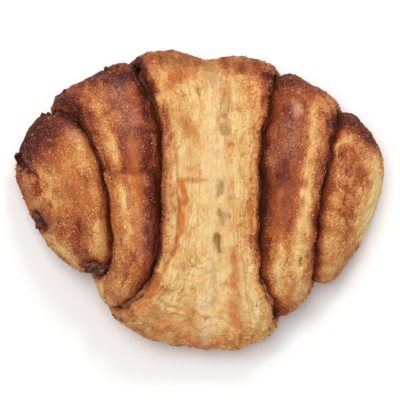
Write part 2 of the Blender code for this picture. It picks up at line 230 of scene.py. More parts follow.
def outline(x):
    """The y of the back and of the front of the bun at x."""
    share = np.clip(np.abs(x) / REACH, 0, 1)
    back = np.where(x < 0, falling(share, BACK_LEFT), falling(share, BACK_RIGHT))
    front = np.where(x < 0, falling(share, FRONT_LEFT), falling(share, FRONT_RIGHT))
    back = back - DIP_BACK * bump(x - DIP_BACK_X, DIP_WIDTH)
    front = front - PINCH_LEFT * bump(x + PINCH_LEFT_X, PINCH_WIDTH)
    front = front - PINCH_RIGHT * bump(x - PINCH_RIGHT_X, PINCH_WIDTH)
    front = front - DIP_FRONT * bump(x, DIP_WIDTH) + SWELL_FRONT * bump(x - SWELL_FRONT_X, DIP_WIDTH)
    tip = TIP_Y * share**2
    return tip + (DEPTH_BACK - tip) * back, tip - (DEPTH + tip) * np.maximum(front, 0)


def half_heights(x):
    """How far the bun reaches above and below its widest line at x."""
    share = np.clip(np.abs(x) / REACH, 0, 1)
    groove = GROOVE_DEPTH * bump(x - GROOVE_X, GROOVE_WIDTH)
    above = CROWN * falling(share, CROWN_CURVE) - groove
    below = BOTTOM_SWELL * WIDEST_Z * falling(share, BASE_CURVE)
    return above, below


def fold_at_left_end(x, y):
    """How far the small crease sinks into the left end of the core."""
    along = np.array([FOLD_TO_X - FOLD_FROM_X, FOLD_TO_Y - FOLD_FROM_Y])
    length = np.linalg.norm(along)
    along /= length
    from_start = np.stack([x - FOLD_FROM_X, y - FOLD_FROM_Y], axis=-1)
    run = from_start @ along
    off = from_start @ np.array([-along[1], along[0]])
    bow = FOLD_BOW * np.sin(math.pi * np.clip(run / length, 0, 1))
    inside = smooth(run / FOLD_RUN + 1) * smooth((length - run) / FOLD_RUN + 1)
    return FOLD_DEPTH * inside * bump(off + bow, FOLD_WIDTH)


def sine_of(turn):
    """How high round the roll a place is, from -1 at the bottom to 1 at the top."""
    return np.sin(math.radians(270) - 2 * math.pi * turn)


def place(turn, x, level):
    """The point of the bun at this turn, this x and this many turns deep."""
    cosine, sine = np.cos(math.radians(270) - 2 * math.pi * turn), sine_of(turn)
    power = 2 / np.where(sine > 0, SUPER_TOP, SUPER_BOTTOM)
    out = np.sign(cosine) * np.abs(cosine) ** power
    up = np.sign(sine) * np.abs(sine) ** power
    back, front = outline(x)
    above, below = half_heights(x)
    half = (back - front) / 2
    room = TURN_DEPTH * half / (half + NARROW_HALF)
    y = (back + front) / 2 + (half - room * level) * out
    share = 1 - level / turns_to_middle(turn, x)
    z = WIDEST_Z + np.where(sine > 0, above, below) * share * up
    return np.stack([x + 0 * y, y, np.maximum(z, 0)], axis=-1)


def lumps(turn, x, level):
    """How far uneven baking moves the open surface, in turns."""
    open_share = np.clip(1 - 2 * np.abs(level), 0, 1)
    underneath = np.clip(-sine_of(turn), 0, 1)
    height = LUMPS * waves(x, np.mod(turn, 1.0) * WOBBLE_TURN, LUMPS_SEED)
    return -height / TURN_DEPTH * open_share * (1 - underneath)


crest = place(np.array([0.5]), np.array([24 * MM]), np.array([0.0]))[0]
print("the lobe beside the groove is %.1f mm high" % (crest[2] / MM))

# %% [markdown]
# ## Noise to bake with
#
# Crust is uneven in a few typical ways: soft clouds of more and less heat, and cells, which make blisters and
# flakes. Both are worked out from a fixed scramble of whole numbers, so the bun comes out the same each time.

# %% Clouds and cells


def scramble(whole, seed):
    """A fixed number from 0 to 1 for each row of whole numbers."""
    mixed = np.full(whole.shape[:-1], seed * 83492791, dtype=np.int64)
    for k, prime in enumerate((73856093, 19349663, 49979687)):
        mixed = (mixed ^ (whole[..., k] * prime)) * 1274126177
        mixed = mixed ^ (mixed >> 29)
    return ((mixed >> 7) & 0xFFFFFF) / 0xFFFFFF


def cloud(points, seed):
    """Smooth noise from -1 to 1, with about one feature for each unit of length."""
    low = np.floor(points).astype(np.int64)
    part = smooth(points - low)
    total = 0.0
    for corner in np.ndindex(2, 2, 2):
        weight = np.prod(np.where(corner, part, 1 - part), axis=-1)
        total = total + weight * scramble(low + np.array(corner), seed)
    return 2 * total - 1


def cells(points, seed):
    """For each point: how far it is to the nearest seed point, how much further the next is, and a number
    from 0 to 1 that is the same all over the cell."""
    low = np.floor(points).astype(np.int64)
    nearest = np.full(points.shape[:-1], 9.0)
    second = nearest.copy()
    own = np.zeros(points.shape[:-1])
    for step in np.ndindex(3, 3, 3):
        cell = low + np.array(step) - 1
        seat = np.stack([scramble(cell, seed + k) for k in range(3)], axis=-1)
        away = np.linalg.norm(cell + seat - points, axis=-1)
        closer = away < nearest
        second = np.where(closer, nearest, np.minimum(second, away))
        own = np.where(closer, scramble(cell, seed + 3), own)
        nearest = np.minimum(nearest, away)
    return nearest, second - nearest, own


def drifted(points, far, pitch, seed):
    """Points moved by up to so many mm of noise, so that what is drawn over them gets an uneven edge."""
    return points + far * MM * np.stack([cloud(points / MM / pitch, seed + k) for k in range(3)], axis=-1)


sample = cloud(np.random.default_rng(1).uniform(0, 50, (1000, 3)), 5)
print("cloud noise runs from %.2f to %.2f" % (sample.min(), sample.max()))

# %% [markdown]
# ## Grids of points instead of lumps of clay
#
# Each piece of dough is a grid: lines round the roll, crossed by stations along X. A grid keeps three things
# that a sculpted lump would lose: which way the layers run, how far a point is from a cut edge, and how deep
# in a crease it lies. Each of these is kept for the crust and the colours. The steps are close on top, where
# the relief is fine, and wide underneath.

# %% Steps round the roll
TOP_STEPS, UNDER_STEPS = 400, 40  # in one turn: over the top, and in each half of the bottom
TOP_FROM, TOP_TO = 0.22, 0.78  # where the top begins and ends, in turns
OUTER_END = 1.06  # turns at which the outer turn hands over to the second


def steps_round(first, last):
    """Turns from first to last: finely over the top of the roll and coarsely along the bottom."""
    parts = ((0, TOP_FROM, UNDER_STEPS), (TOP_FROM, TOP_TO, TOP_STEPS), (TOP_TO, 1, UNDER_STEPS))
    one = np.concatenate([np.linspace(low, high, steps, endpoint=False) for low, high, steps in parts])
    many = np.concatenate([one + whole for whole in range(math.floor(first), math.ceil(last) + 1)])
    inside = many[(many > first + 1e-6) & (many < last - 1e-6)]
    return np.concatenate([[first], inside, [last]])


print("steps round the outer turn:", len(steps_round(0, OUTER_END)))

# %% The rings of the sheet
LIP_STEPS, HIDDEN_STEPS = 15, 12  # round a cut edge, and across a face that lies under another
BAND_STATIONS, LOBE_STATIONS = 138, 60  # across the band, and across each lobe of the second turn
TUCKED = 1 * MM  # how far a lower layer's close stations go on under the lip above


def spread(first, last, count):
    """Stations from first to last for each turn, as a row of the grid."""
    shares = np.linspace(0, 1, count)[None, :]
    return first[:, None] * (1 - shares) + last[:, None] * shares


def as_grid(kind, turn, x, level, cut=0.0, inside=0.0):
    """A piece as a grid. Cut is 1 on a cut edge, inside is 1 on a face that lies under another, and the lines
    of a ring close round its cut edges."""
    zero = 0 * x
    grid = {"kind": kind, "ring": kind != "core", "turn": turn[:, None] + zero, "x": x, "level": level}
    return grid | {"cut": cut + zero, "inside": inside + zero}


def stations_of_outer_turn(turn):
    left, right = reach_of_sheet(turn, -1) - LIP, reach_of_sheet(turn, 1) - LIP
    return spread(-left, right, BAND_STATIONS)


def stations_of_second_turn(turn):
    left, right = reach_of_sheet(turn, -1) - LIP, reach_of_sheet(turn, 1) - LIP
    from_left = np.minimum(reach_of_sheet(turn - 1, -1), left) - TUCKED
    from_right = np.minimum(reach_of_sheet(turn - 1, 1), right) - TUCKED
    middle = spread(-from_left, from_right, HIDDEN_STEPS + 2)[:, 1:-1]
    left_lobe = spread(-left, -from_left, LOBE_STATIONS)
    return np.concatenate([left_lobe, middle, spread(from_right, right, LOBE_STATIONS)], axis=1)


def sheet_grid(kind, turn, stations):
    """The grid of one turn: its outer face, its right cut edge, its inner face and its left cut edge."""
    xs = stations(turn)
    turns = turn[:, None]
    outer = sheet_outside(turns, xs)
    outer = outer + lumps(turns, xs, outer)
    hidden = spread(xs[:, -1], xs[:, 0], HIDDEN_STEPS)
    inner = sheet_inside(turns, hidden)
    around = np.linspace(0, math.pi, LIP_STEPS + 2)[None, 1:-1]
    edges = {}
    for side, outer_end, inner_end in ((1, -1, 0), (-1, 0, -1)):
        middle = (outer[:, outer_end] + inner[:, inner_end])[:, None] / 2
        half = (inner[:, inner_end] - outer[:, outer_end])[:, None] / 2
        edge_x = xs[:, outer_end][:, None] + side * LIP * np.sin(around)
        edges[side] = (edge_x, middle - half * np.cos(around))
    x = np.concatenate([xs, edges[1][0], hidden, edges[-1][0][:, ::-1]], axis=1)
    level = np.concatenate([outer, edges[1][1], inner, edges[-1][1][:, ::-1]], axis=1)
    rounded = np.sin(around) + 0 * turns
    cut = np.concatenate([0 * xs, rounded, 0 * hidden, rounded], axis=1)
    inside = np.concatenate([0 * xs, 0 * rounded, 1 + 0 * hidden, 0 * rounded], axis=1)
    return as_grid(kind, turn, x, level, cut, inside)


outer_grid = sheet_grid("outer", steps_round(0, OUTER_END), stations_of_outer_turn)
second_grid = sheet_grid("second", steps_round(OUTER_END, TURNS), stations_of_second_turn)
print("outer turn", outer_grid["x"].shape, "second turn", second_grid["x"].shape)

# %% The lines of the core
CORE_OPEN = 84  # stations from the covering lip to the end of the bun
CORE_END, CORE_POWER = 0.9995 * REACH, 1.1  # where they stop, and how they get closer towards it


def core_grid(turn):
    """Lines from the left end of the core to the right end, at each step round the roll."""
    halves = []
    for side in (-1, 1):
        edge = reach_of_sheet(turn + 1, side) - TUCKED
        shares = np.sin(np.linspace(0, math.pi / 2, CORE_OPEN + 1)) ** CORE_POWER
        halves.append(edge[:, None] + (CORE_END - edge[:, None]) * shares[None, :])
    middle = spread(-halves[0][:, 0], halves[1][:, 0], HIDDEN_STEPS + 2)[:, 1:-1]
    x = np.concatenate([-halves[0][:, ::-1], middle, halves[1]], axis=1)
    level = core_outside(turn[:, None], x)
    return as_grid("core", turn, x, level + lumps(turn[:, None], x, level))


core = core_grid(steps_round(0, 1)[:-1])
DOUGH = (outer_grid, second_grid, core)
print("core", core["x"].shape)

# %% [markdown]
# ## What the oven did
#
# On top of the form comes a map of marks: where the crust is dark, where a stripe of dough stayed pale, where
# syrup has boiled out. A baker sees them as strokes, so they are strokes here too, each one a short line with
# a width. They are placed in the picture's own pixels, at the scale that the bun's width gives.

# %% Strokes over the bun
PIXEL = 0.3288 * MM  # one pixel of the picture on the bun
PICTURE = 400  # pixels across the picture
MIDDLE = PICTURE / 2


def stroke(points, line, width):
    """How much a stroke covers each point seen from above: 1 along its line and fading at its sides. The line
    is the px and py of its first corner, then those of the next, and so on."""
    corners = [((px - MIDDLE) * PIXEL, (MIDDLE - py) * PIXEL) for px, py in zip(line[::2], line[1::2])]
    if len(corners) == 1:
        corners = corners * 2
    best = np.full(points.shape[:-1], 1e3)
    for (ax, ay), (bx, by) in zip(corners, corners[1:]):
        dx, dy = bx - ax, by - ay
        long = max(dx * dx + dy * dy, 1e-12)
        along = np.clip(((points[..., 0] - ax) * dx + (points[..., 1] - ay) * dy) / long, 0, 1)
        off = np.hypot(points[..., 0] - ax - along * dx, points[..., 1] - ay - along * dy)
        best = np.minimum(best, off)
    return bump(best, width * PIXEL)


print("one pixel of the picture is %.2f mm" % (PIXEL / MM))

# %% The marks on each piece
# Each mark is its strength, its width and its line. Brown is crust, and below 0 it is paler dough. Syrup is
# glossy, chalk pale and floury dough, orange is caramel, sugar a dull pinkish grey, and olive the greyish
# dough in a pore. On the second turn and the core the sugar marks, one chalk mark and one paler brown mark are
# painted highlights.
MARKS = {
    "outer": {
        "olive": [
            (0.55, 6, 209, 68, 214, 82), (0.35, 3, 211, 63, 214, 72), (0.35, 8, 226, 92, 226, 104),
            (0.9, 2.6, 226, 113, 227, 117), (0.8, 2.8, 224, 128, 226, 133),
            (0.5, 1.3, 221, 104, 222, 128, 224, 146), (0.9, 2.2, 219, 184, 218, 196),
            (0.8, 3.2, 219, 212, 224, 221), (1.3, 3.4, 216.5, 236, 216.5, 249),
            (0.28, 10, 166, 60, 198, 62), (0.22, 10, 226, 62, 246, 68), (0.6, 2.4, 207, 319),
            (0.3, 4, 214, 262, 213, 300),
        ],
        "sugar": [(0.5, 3.5, 223, 104, 225, 124, 225, 150)],
        "chalk": [
            (0.9, 6, 213, 86, 209, 130, 214, 190, 210, 240, 209, 290, 204, 338),
            (1.0, 3.4, 210, 268, 209, 280, 204, 302), (0.6, 4, 222, 120, 226, 190, 222, 250),
            (0.5, 1.3, 169, 130, 171, 180, 170, 235), (0.6, 1.8, 176, 150, 177, 200, 174, 232),
            (-0.9, 4, 216.5, 237, 216.5, 248),
        ],
        "orange": [
            (0.5, 7, 188, 298, 192, 318), (0.5, 9, 226, 306, 240, 328), (1.0, 5, 171, 82, 170, 90),
            (1.0, 4, 174, 78, 187, 78), (0.9, 8, 184, 124, 194, 134),
            (1.2, 3.0, 183, 180, 183, 205, 180, 232, 175, 250), (0.8, 3, 172, 252, 163, 272, 150, 296),
            (0.3, 8, 190, 150, 190, 172), (0.7, 2.6, 182, 180, 206, 179),
            (1.0, 5.5, 231, 252, 237, 268, 232, 282), (0.6, 7, 236, 290, 236, 320), (1.0, 3.2, 233, 146),
            (0.9, 2.4, 228, 198), (0.9, 2.6, 227, 217), (0.8, 6, 157, 288, 166, 290),
            (0.5, 10, 150, 310, 180, 330, 205, 340), (0.3, 12, 140, 300, 168, 318, 200, 330),
        ],
        "brown": [
            (0.12, 3.0, 216.5, 236, 216.5, 249), (-0.10, 5, 246, 262, 250, 290, 256, 318),
            (0.16, 2.4, 183, 190, 182, 215, 178, 240), (0.49, 11, 146, 60, 170, 57, 198, 62),
            (0.47, 12, 226, 62, 250, 64, 264, 76), (0.14, 12, 156, 84, 186, 80),
            (-0.09, 30, 150, 312, 240, 312), (0.11, 6, 171, 110, 172, 180, 170, 250),
            (0.60, 6, 137, 64, 143, 76, 150, 92), (0.28, 3.6, 241, 66, 243, 76),
            (0.30, 4, 266, 78, 262, 120, 260, 200, 258, 240, 264, 280),
            (0.16, 8, 250, 84, 250, 130, 250, 190, 250, 240),
            (0.26, 7, 163, 110, 164, 150, 164, 200, 160, 250), (0.24, 14, 116, 318, 140, 330, 185, 345),
            (0.22, 10, 205, 342, 252, 336), (0.12, 10, 130, 305, 155, 270), (-0.10, 14, 196, 120, 196, 240),
        ],
    },
    "second": {
        "brown": [
            (0.50, 12, 84, 82, 104, 74, 126, 76), (0.44, 11, 60, 96, 80, 112), (-0.18, 4.5, 88, 88, 94, 102),
            (-0.12, 4.5, 98, 108, 108, 132), (-0.22, 5.0, 112, 140, 119, 164),
            (0.14, 4, 92, 114, 102, 142, 108, 160), (-0.22, 4, 122, 184, 129, 212, 132, 242),
            (0.30, 9, 118, 84, 128, 120, 136, 165), (-0.16, 3, 155, 138, 155, 152),
            (0.02, 9, 142, 215, 138, 262, 120, 300), (0.39, 8, 141, 76, 150, 130, 153, 200, 151, 240),
            (0.14, 7, 151, 240, 148, 266, 140, 286), (0.20, 4, 96, 166, 116, 171, 146, 172),
            (-0.36, 6, 98, 286, 116, 312, 134, 334), (0.24, 18, 284, 80, 288, 112, 282, 165, 272, 205),
            # the paler mark at 293, 107 is part of a painted highlight
            (0.16, 9, 280, 180, 277, 225), (-0.30, 9, 280, 250, 282, 290), (-0.16, 4.0, 293, 107, 296, 115),
            (0.06, 9, 288, 96, 290, 130), (0.20, 8, 284, 78, 304, 84, 312, 94),
            (0.12, 6, 282, 192, 277, 216), (0.24, 5, 264, 150, 262, 200, 265, 250),
            (-0.08, 6, 320, 102, 324, 112), (-0.26, 5.0, 312, 104, 312, 130, 310, 150, 306, 170, 304, 195),
            (-0.34, 7, 302, 198, 298, 240, 297, 268, 300, 296), (0.44, 6.5, 333, 120, 329, 150, 325, 166),
            (0.34, 6, 319, 192, 316, 215, 314, 262), (0.22, 7, 272, 300, 282, 314),
        ],
        "syrup": [
            (0.8, 10, 120, 88, 130, 125, 136, 160), (0.5, 8, 142, 215, 138, 262),
            (0.7, 9, 282, 186, 276, 226), (0.7, 7, 294, 96, 296, 118),
        ],
        # painted highlights and sheen on the glossy tops of both lobes
        "sugar": [
            (0.9, 8, 116, 92, 126, 108, 132, 124), (0.6, 7, 144, 218, 143, 250),
            (1.0, 4.4, 293, 107, 296, 115), (0.8, 10, 290, 130, 286, 152), (0.9, 4, 268, 152, 269, 163),
        ],
        # a painted highlight at the glossy spot on the right lobe
        "chalk": [(0.60, 2.4, 293, 108, 296, 114), (0.4, 1.6, 298, 92)],
        "orange": [
            (0.8, 5, 133, 140, 136, 168), (0.6, 4, 112, 182, 118, 230),
            (0.7, 4, 138, 176, 139, 208, 138, 244), (0.7, 7, 280, 190, 274, 232),
            (0.4, 5, 296, 170, 288, 215), (0.8, 6, 286, 284, 285, 300),
        ],
        "olive": [(1.3, 1.6, 299, 257, 299, 265)],
    },
    "core": {
        "brown": [
            (0.37, 15, 26, 142, 46, 118, 84, 116), (0.34, 13, 24, 158, 40, 140, 58, 142),
            # the dark line from 16, 154 to 42, 192 is painted shade in the fold at the left end
            (0.40, 3.2, 16, 154, 25, 166, 37, 178, 42, 192), (0.22, 10, 40, 132, 58, 132, 82, 124),
            (0.12, 9, 36, 150, 54, 152), (0.16, 9, 26, 166, 30, 194), (0.06, 10, 84, 156, 88, 194),
            (-0.16, 4.0, 342, 138, 335, 147, 333, 160), (-0.12, 3.0, 351, 139, 345, 149, 345, 160),
            (0.20, 4.0, 341, 147, 340, 160), (0.07, 7, 350, 150, 348, 170), (0.05, 16, 56, 190, 62, 214),
            (-0.10, 6, 70, 134, 82, 140), (-0.10, 7, 78, 146, 92, 160, 100, 190),
            (0.20, 9, 84, 226, 88, 252), (-0.26, 6, 102, 226, 103, 250),
            (-0.20, 4, 48, 234, 68, 254, 82, 266), (-0.14, 3, 41, 182, 45, 200),
            (-0.16, 3, 52, 178, 58, 206), (0.50, 7, 37, 216, 44, 226), (0.55, 9, 94, 264, 104, 278),
            (0.54, 11, 340, 116, 360, 128, 374, 146), (0.16, 8, 368, 150, 372, 172),
            (0.14, 7, 350, 152, 360, 172), (0.18, 6, 328, 186, 322, 210, 318, 240),
            (0.12, 8, 344, 200, 346, 232), (-0.14, 7, 334, 196, 328, 222, 326, 250),
            (-0.12, 14, 334, 246, 330, 272), (-0.12, 9, 360, 196, 352, 236),
            (-0.46, 8, 371, 152, 375, 172, 375, 198, 363, 240),
        ],
        "orange": [(0.5, 9, 60, 150, 66, 158), (0.5, 8, 72, 175, 80, 205), (0.4, 8, 330, 200, 328, 250)],
        # a painted highlight on the shoulder of the left end
        "sugar": [(0.9, 6, 70, 132, 82, 138)],
    },
}
print("strokes:", sum(len(marks) for of_piece in MARKS.values() for marks in of_piece.values()))

# %% [markdown]
# ## The crust as relief
#
# A bump map alone would leave the outline smooth, and the plain mesh without its crust. So the grid itself
# is moved: streaks that run with the layers, plates of flaky crust with lifted rims, blisters, and fine
# grain. The cut edges get thin steps, one for each layer of dough and butter.

# %% Coordinates on each piece
ROUND, BAND = 260, 38  # mm once round the roll, and across the band
EDGE = 4.5  # mm from a face round to the middle of a cut edge
APART = 100  # mm that keep the streaks of the left and right lobes from mirroring each other
CREASE_WIDTH = 2.6 * MM
TOP_Z, TOP_RUN = 3, 5  # mm above the tray where the marks begin, and over which they come in


def running_across(grid):
    """A length across the layers, in mm, counted so that streaks run beside the cut edges."""
    turn, x, side = grid["turn"], grid["x"], np.sign(grid["x"])
    if grid["kind"] == "outer":
        left, right = reach_of_sheet(turn, -1), reach_of_sheet(turn, 1)
        return (x + left) / (left + right) * BAND + side * EDGE * (1 - np.cos(grid["cut"] * math.pi / 2))
    lip = lip_of(turn, x) if grid["kind"] == "second" else lip_of(turn + 1, x)
    return side * ((np.abs(x) - lip) / MM + EDGE * grid["cut"] + APART)


def crease_depth(grid):
    """How far in a crease each point is: 1 under the lip of the turn above, 0 a few mm away from it."""
    if grid["kind"] == "outer":
        return grid["inside"]
    above = grid["turn"] - 1 if grid["kind"] == "second" else grid["turn"] + 1
    beyond = np.abs(grid["x"]) - lip_of(above, grid["x"])
    return np.maximum(np.where(beyond < 0, 1, bump(beyond, CREASE_WIDTH)), grid["inside"])


for grid in DOUGH:
    points = place(grid["turn"], grid["x"], grid["level"])
    if grid["kind"] == "core":
        above_middle = points[..., 2] - WIDEST_Z
        points[..., 2] -= fold_at_left_end(points[..., 0], points[..., 1]) * smooth(above_middle / FOLD_RUN)
    grid["points"] = points
    grid["along"] = grid["turn"] * ROUND
    grid["across"] = running_across(grid)
    grid["crease"] = crease_depth(grid)
    grid["top"] = smooth((points[..., 2] / MM - TOP_Z) / TOP_RUN)
    print(grid["kind"], "from", points.min((0, 1)) / MM, "to", points.max((0, 1)) / MM)

# %% Normals of a grid


def normals_of(grid):
    """Unit normals of a grid of points, outwards."""
    points = grid["points"]
    if grid["ring"]:
        over = np.roll(points, -1, axis=1) - np.roll(points, 1, axis=1)
        round_it = np.gradient(points, axis=0)
    else:
        over = np.gradient(points, axis=1)
        round_it = np.roll(points, -1, axis=0) - np.roll(points, 1, axis=0)
    normal = np.cross(round_it, over)
    normal = normal / np.maximum(np.linalg.norm(normal, axis=-1, keepdims=True), 1e-12)
    highest = np.unravel_index(np.argmax(points[..., 2]), points.shape[:2])
    return normal * np.sign(normal[highest][2])


print("normal at the crest of the outer turn:", normals_of(outer_grid)[100, 60])

# %% The crust of one piece


def crust_of(grid, seed, flaky):
    """Height of the crust over the smooth form, in mm, and how much browner or paler that makes it.
    Flaky is 1 for a dry laminated face, and 0 for a moist one with blisters. What the coordinates are divided
    by is the pitch of the noise, in mm."""
    mm = grid["points"] / MM
    none = 0 * grid["across"]
    layered = np.stack([grid["along"], grid["across"], none], axis=-1)
    streaks = cloud(layered / [15, 1.2, 1], seed) + 0.7 * cloud(layered / [6, 0.6, 1], seed + 1)
    warped = layered + np.stack([none, 1.8 * cloud(layered / [8, 5, 1], seed + 2), none], -1)
    _, rim, own = cells(warped / [5.5, 2.0, 1.0], seed + 10)
    plates = (own - 0.5) * 0.7 + 0.30 * (1 - smooth(rim / 0.20)) * (own > 0.4)
    near, _, own = cells(mm / 1.5, seed + 20)
    blisters = (own > 0.5) * smooth(1 - near / 0.6)
    _, rim, own = cells(mm / 0.8, seed + 25)
    crumbly = (own - 0.5) * smooth(rim / 0.3)
    swell = cloud(mm / 6.5, seed + 31) + 0.6 * cloud(mm / 3.0, seed + 32)
    steps = np.mod(layered[..., 1] * 1.25 + 0.35 * cloud(layered / [12, 3, 1], seed + 33), 1.0) - 0.5
    cut = grid["cut"]
    height = 0.12 * streaks * (1 - cut) + 0.42 * (0.5 + 0.5 * flaky) * plates * (1 - 0.6 * cut)
    height = height + (0.26 - 0.14 * flaky) * blisters + 0.24 * crumbly + 0.26 * swell + 0.40 * steps * cut
    brown = 0.06 * streaks + 0.14 * plates + 0.10 * (1 - flaky) * blisters - (0.08 + 0.12 * flaky) * crumbly
    brown = brown + (0.12 - 0.04 * flaky) * swell + 0.22 * steps * cut
    return height, brown


for grid, seed, flaky in zip(DOUGH, (100, 200, 300), (1.0, 0.4, 0.2)):
    grid["crust"], grid["mottle"] = crust_of(grid, seed, flaky)
    print("crust from %.2f to %.2f mm" % (grid["crust"].min(), grid["crust"].max()))

# %% [markdown]
# ## Pits, wrinkles and the torn places
#
# Then come the few things that happened only once: the pores along the pressed middle, the score beside it,
# the wrinkles where the band spreads out at the front, and the break across the left lobe. They are strokes
# too, of height instead of colour.

# %% Layers that curled up while they baked
# The height of each rim in mm, and its line.
CURLS = {
    "outer": [
        (0.7, 183, 250, 188, 262, 198, 268, 208, 262), (0.6, 189, 246, 194, 256, 203, 259),
        (0.6, 186, 276, 198, 281, 206, 276), (0.4, 158, 300, 168, 310, 182, 311),
        (0.4, 163, 66, 172, 62, 180, 67), (0.3, 196, 96, 202, 108, 199, 124),
        (0.3, 190, 196, 196, 208, 193, 222),
    ],
    "second": [(0.5, 316, 112, 322, 120, 322, 132)],
    "core": [
        (0.6, 343, 135, 334, 146, 333, 158), (0.5, 354, 136, 345, 148, 345, 160),
        (0.6, 334, 186, 342, 194, 336, 206), (0.6, 326, 212, 338, 216, 344, 228, 336, 238),
        (0.5, 352, 180, 358, 192, 354, 204),
    ],
}
BEHIND = 2.6  # pixels by which the hollow lies to the right of a curled layer's rim, and further back


def behind(line):
    """The line of the hollow behind a curled layer's rim."""
    return [number + BEHIND * (-1) ** k for k, number in enumerate(line)]


print("curled layers:", sum(len(lines) for lines in CURLS.values()))

# %% One-off shapes in the dough
# The height of each mark in mm, its width and its line.
SHAPES = {
    "outer": [
        (-1.0, 3.2, 216.5, 237, 216.5, 248), (-0.8, 4, 221, 216), (-0.8, 3, 225, 114), (-0.8, 3, 224, 130),
        (-0.8, 3, 219, 184), (-0.8, 3, 207, 319), (-0.5, 3, 210, 80, 209, 140, 213, 200, 216, 240, 208, 320),
        (-0.9, 2.2, 180, 150, 181, 215, 178, 250, 164, 272, 150, 300),
        (0.5, 3.5, 174, 150, 175, 215, 172, 244, 160, 268), (-0.7, 2, 240, 258, 243, 290, 249, 322),
        (0.5, 4, 247, 258, 251, 290, 257, 318),
    ],
    "second": [
        (-0.8, 2.4, 90, 164, 104, 170, 116, 169, 130, 173, 148, 170), (0.4, 5, 104, 178, 120, 180, 140, 182),
        (-1.0, 2, 299, 258, 299, 266),
    ],
    "core": [
        (-1.4, 5, 36, 214, 44, 226), (-1.6, 6, 97, 266, 102, 276),
        (-1.4, 2.6, 16, 154, 25, 166, 37, 178, 42, 192), (0.8, 5, 22, 178, 32, 188, 38, 202),
        (0.5, 2.5, 41, 180, 45, 204), (-0.5, 2.5, 36, 180, 39, 204), (-0.5, 2.0, 49, 174, 53, 206),
    ],
}


def wrinkles(points):
    """Wrinkles in mm, where the band spreads out at the front."""
    spreading = smooth((-points[..., 1] / MM - 12) / 12) * smooth((14 - points[..., 0] / MM) / 10)
    bent = drifted(points, 3.0, 8, 74) / MM
    bent[..., 1] += 0.35 * bent[..., 0]
    return 0.36 * spreading * (1 - 2.4 * np.abs(cloud(bent / [9, 2.4, 9], 77)))


def crumbs(points):
    """A crumbly knob at the back of the left lobe, and a rough dark wall beside the band, in mm."""
    _, rim, own = cells(points / MM / 1.9, 78)
    knob = stroke(points, (58, 98, 78, 108), 10) * 1.8 * (own - 0.35) * smooth(rim / 0.35)
    wall = stroke(points, (141, 76, 150, 130, 153, 200, 150, 262), 8)
    return knob + 0.8 * wall * cloud(points / MM / [1.1, 4.0, 2.0], 79)


for grid in DOUGH:
    points, extra = grid["points"], 0 * grid["x"]
    ragged = drifted(points, 0.9, 2.0, 81)
    for height, *line in CURLS[grid["kind"]]:
        extra += height * (stroke(ragged, line, 1.6) - 0.7 * stroke(ragged, behind(line), 2.2))
    for height, width, *line in SHAPES[grid["kind"]]:
        extra += height * stroke(points, line, width)
    if grid["kind"] == "outer":
        extra += wrinkles(points)
    if grid["kind"] == "second":
        extra += crumbs(points)
    grid["extra"] = extra * grid["top"]
    print(grid["kind"], "deepest mark %.1f mm" % grid["extra"].min())

# %% Move the points
UNDERSIDE, LYING_RUN = 0.6 * MM, 2.5 * MM  # no crust below the first, because the bun lay on a tray
CREASE_CALM = 0.85  # share of the crust that hidden faces lose


def with_crust(grid):
    """The grid's points, moved along their normals by the crust. Hidden faces stay nearly smooth."""
    points, normal = grid["points"], normals_of(grid)
    shown = 1 - np.clip(grid["crease"], 0, 1) * CREASE_CALM
    lying = smooth((points[..., 2] - UNDERSIDE) / LYING_RUN)
    height = (grid["crust"] * shown + grid["extra"]) * MM * lying
    moved = points + normal * height[..., None]
    moved[..., 2] = np.maximum(moved[..., 2], 0)
    return moved


for grid in DOUGH:
    grid["baked"] = with_crust(grid)
print("highest point of the crust: %.1f mm" % (outer_grid["baked"][..., 2].max() / MM))

# %% [markdown]
# ## From grids to meshes, with the baking kept as attributes
#
# A vertex attribute is a number that each point of the mesh carries. The materials read six of them, brown,
# syrup, chalk, orange, sugar and olive, and one vector that says which way the layers run. Attributes need no
# image, and they stay on the dough from every side.

# %% How brown every point is
BAKED = ("brown", "syrup", "chalk", "orange", "sugar", "olive")
KEPT = (*BAKED, "along", "across")
BASE_BROWN = {"outer": 0.10, "second": 0.44, "core": 0.40}
CUT_BROWN = {"outer": 0.22, "second": 0.10, "core": 0.10}
SIDE_BROWN = {"outer": 0.20, "second": 0.04, "core": 0.04}
# Painted shade: how much darker the dough is made in the creases under each lip, and in the hollow behind each
# curled layer's rim.
CREASE_SHADE, HOLLOW_SHADE, RIM_PALE = 0.42, 0.24, 0.20


def bake(grid):
    """Adds the six colour fields of a piece to its grid."""
    kind, points = grid["kind"], grid["points"]
    fields = {name: 0 * grid["x"] for name in BAKED}
    fields["brown"] += BASE_BROWN[kind]
    ragged = drifted(points, 1.2, 2.5, 401)
    for name, marks in MARKS[kind].items():
        for strength, width, *line in marks:
            fields[name] += strength * stroke(ragged, line, width) * grid["top"]
    for height, *line in CURLS[kind]:
        # painted shade in the hollow behind each curled rim; the rim itself is made paler
        hollow = HOLLOW_SHADE * stroke(ragged, behind(line), 2.0)
        fields["brown"] += height * (hollow - RIM_PALE * stroke(ragged, line, 1.4))
    fields["brown"] += grid["mottle"]
    fields["brown"] += CUT_BROWN[kind] * grid["cut"]
    # painted shade: the dough is darker the deeper it lies in a crease
    fields["brown"] += CREASE_SHADE * grid["crease"]
    side = smooth((14 - points[..., 2] / MM) / 8)
    fields["brown"] += SIDE_BROWN[kind] * side * (1 - grid["top"] * 0.3)
    for name in fields:
        grid[name] = np.clip(fields[name], 0, 1)


for grid in DOUGH:
    bake(grid)
    print(grid["kind"], "is %.2f brown on average" % grid["brown"].mean())

# %% A mesh from a grid


def add_object(name, data):
    """A new object in the scene, with this data."""
    made = bpy.data.objects.new(name, data)
    bpy.context.scene.collection.objects.link(made)
    return made


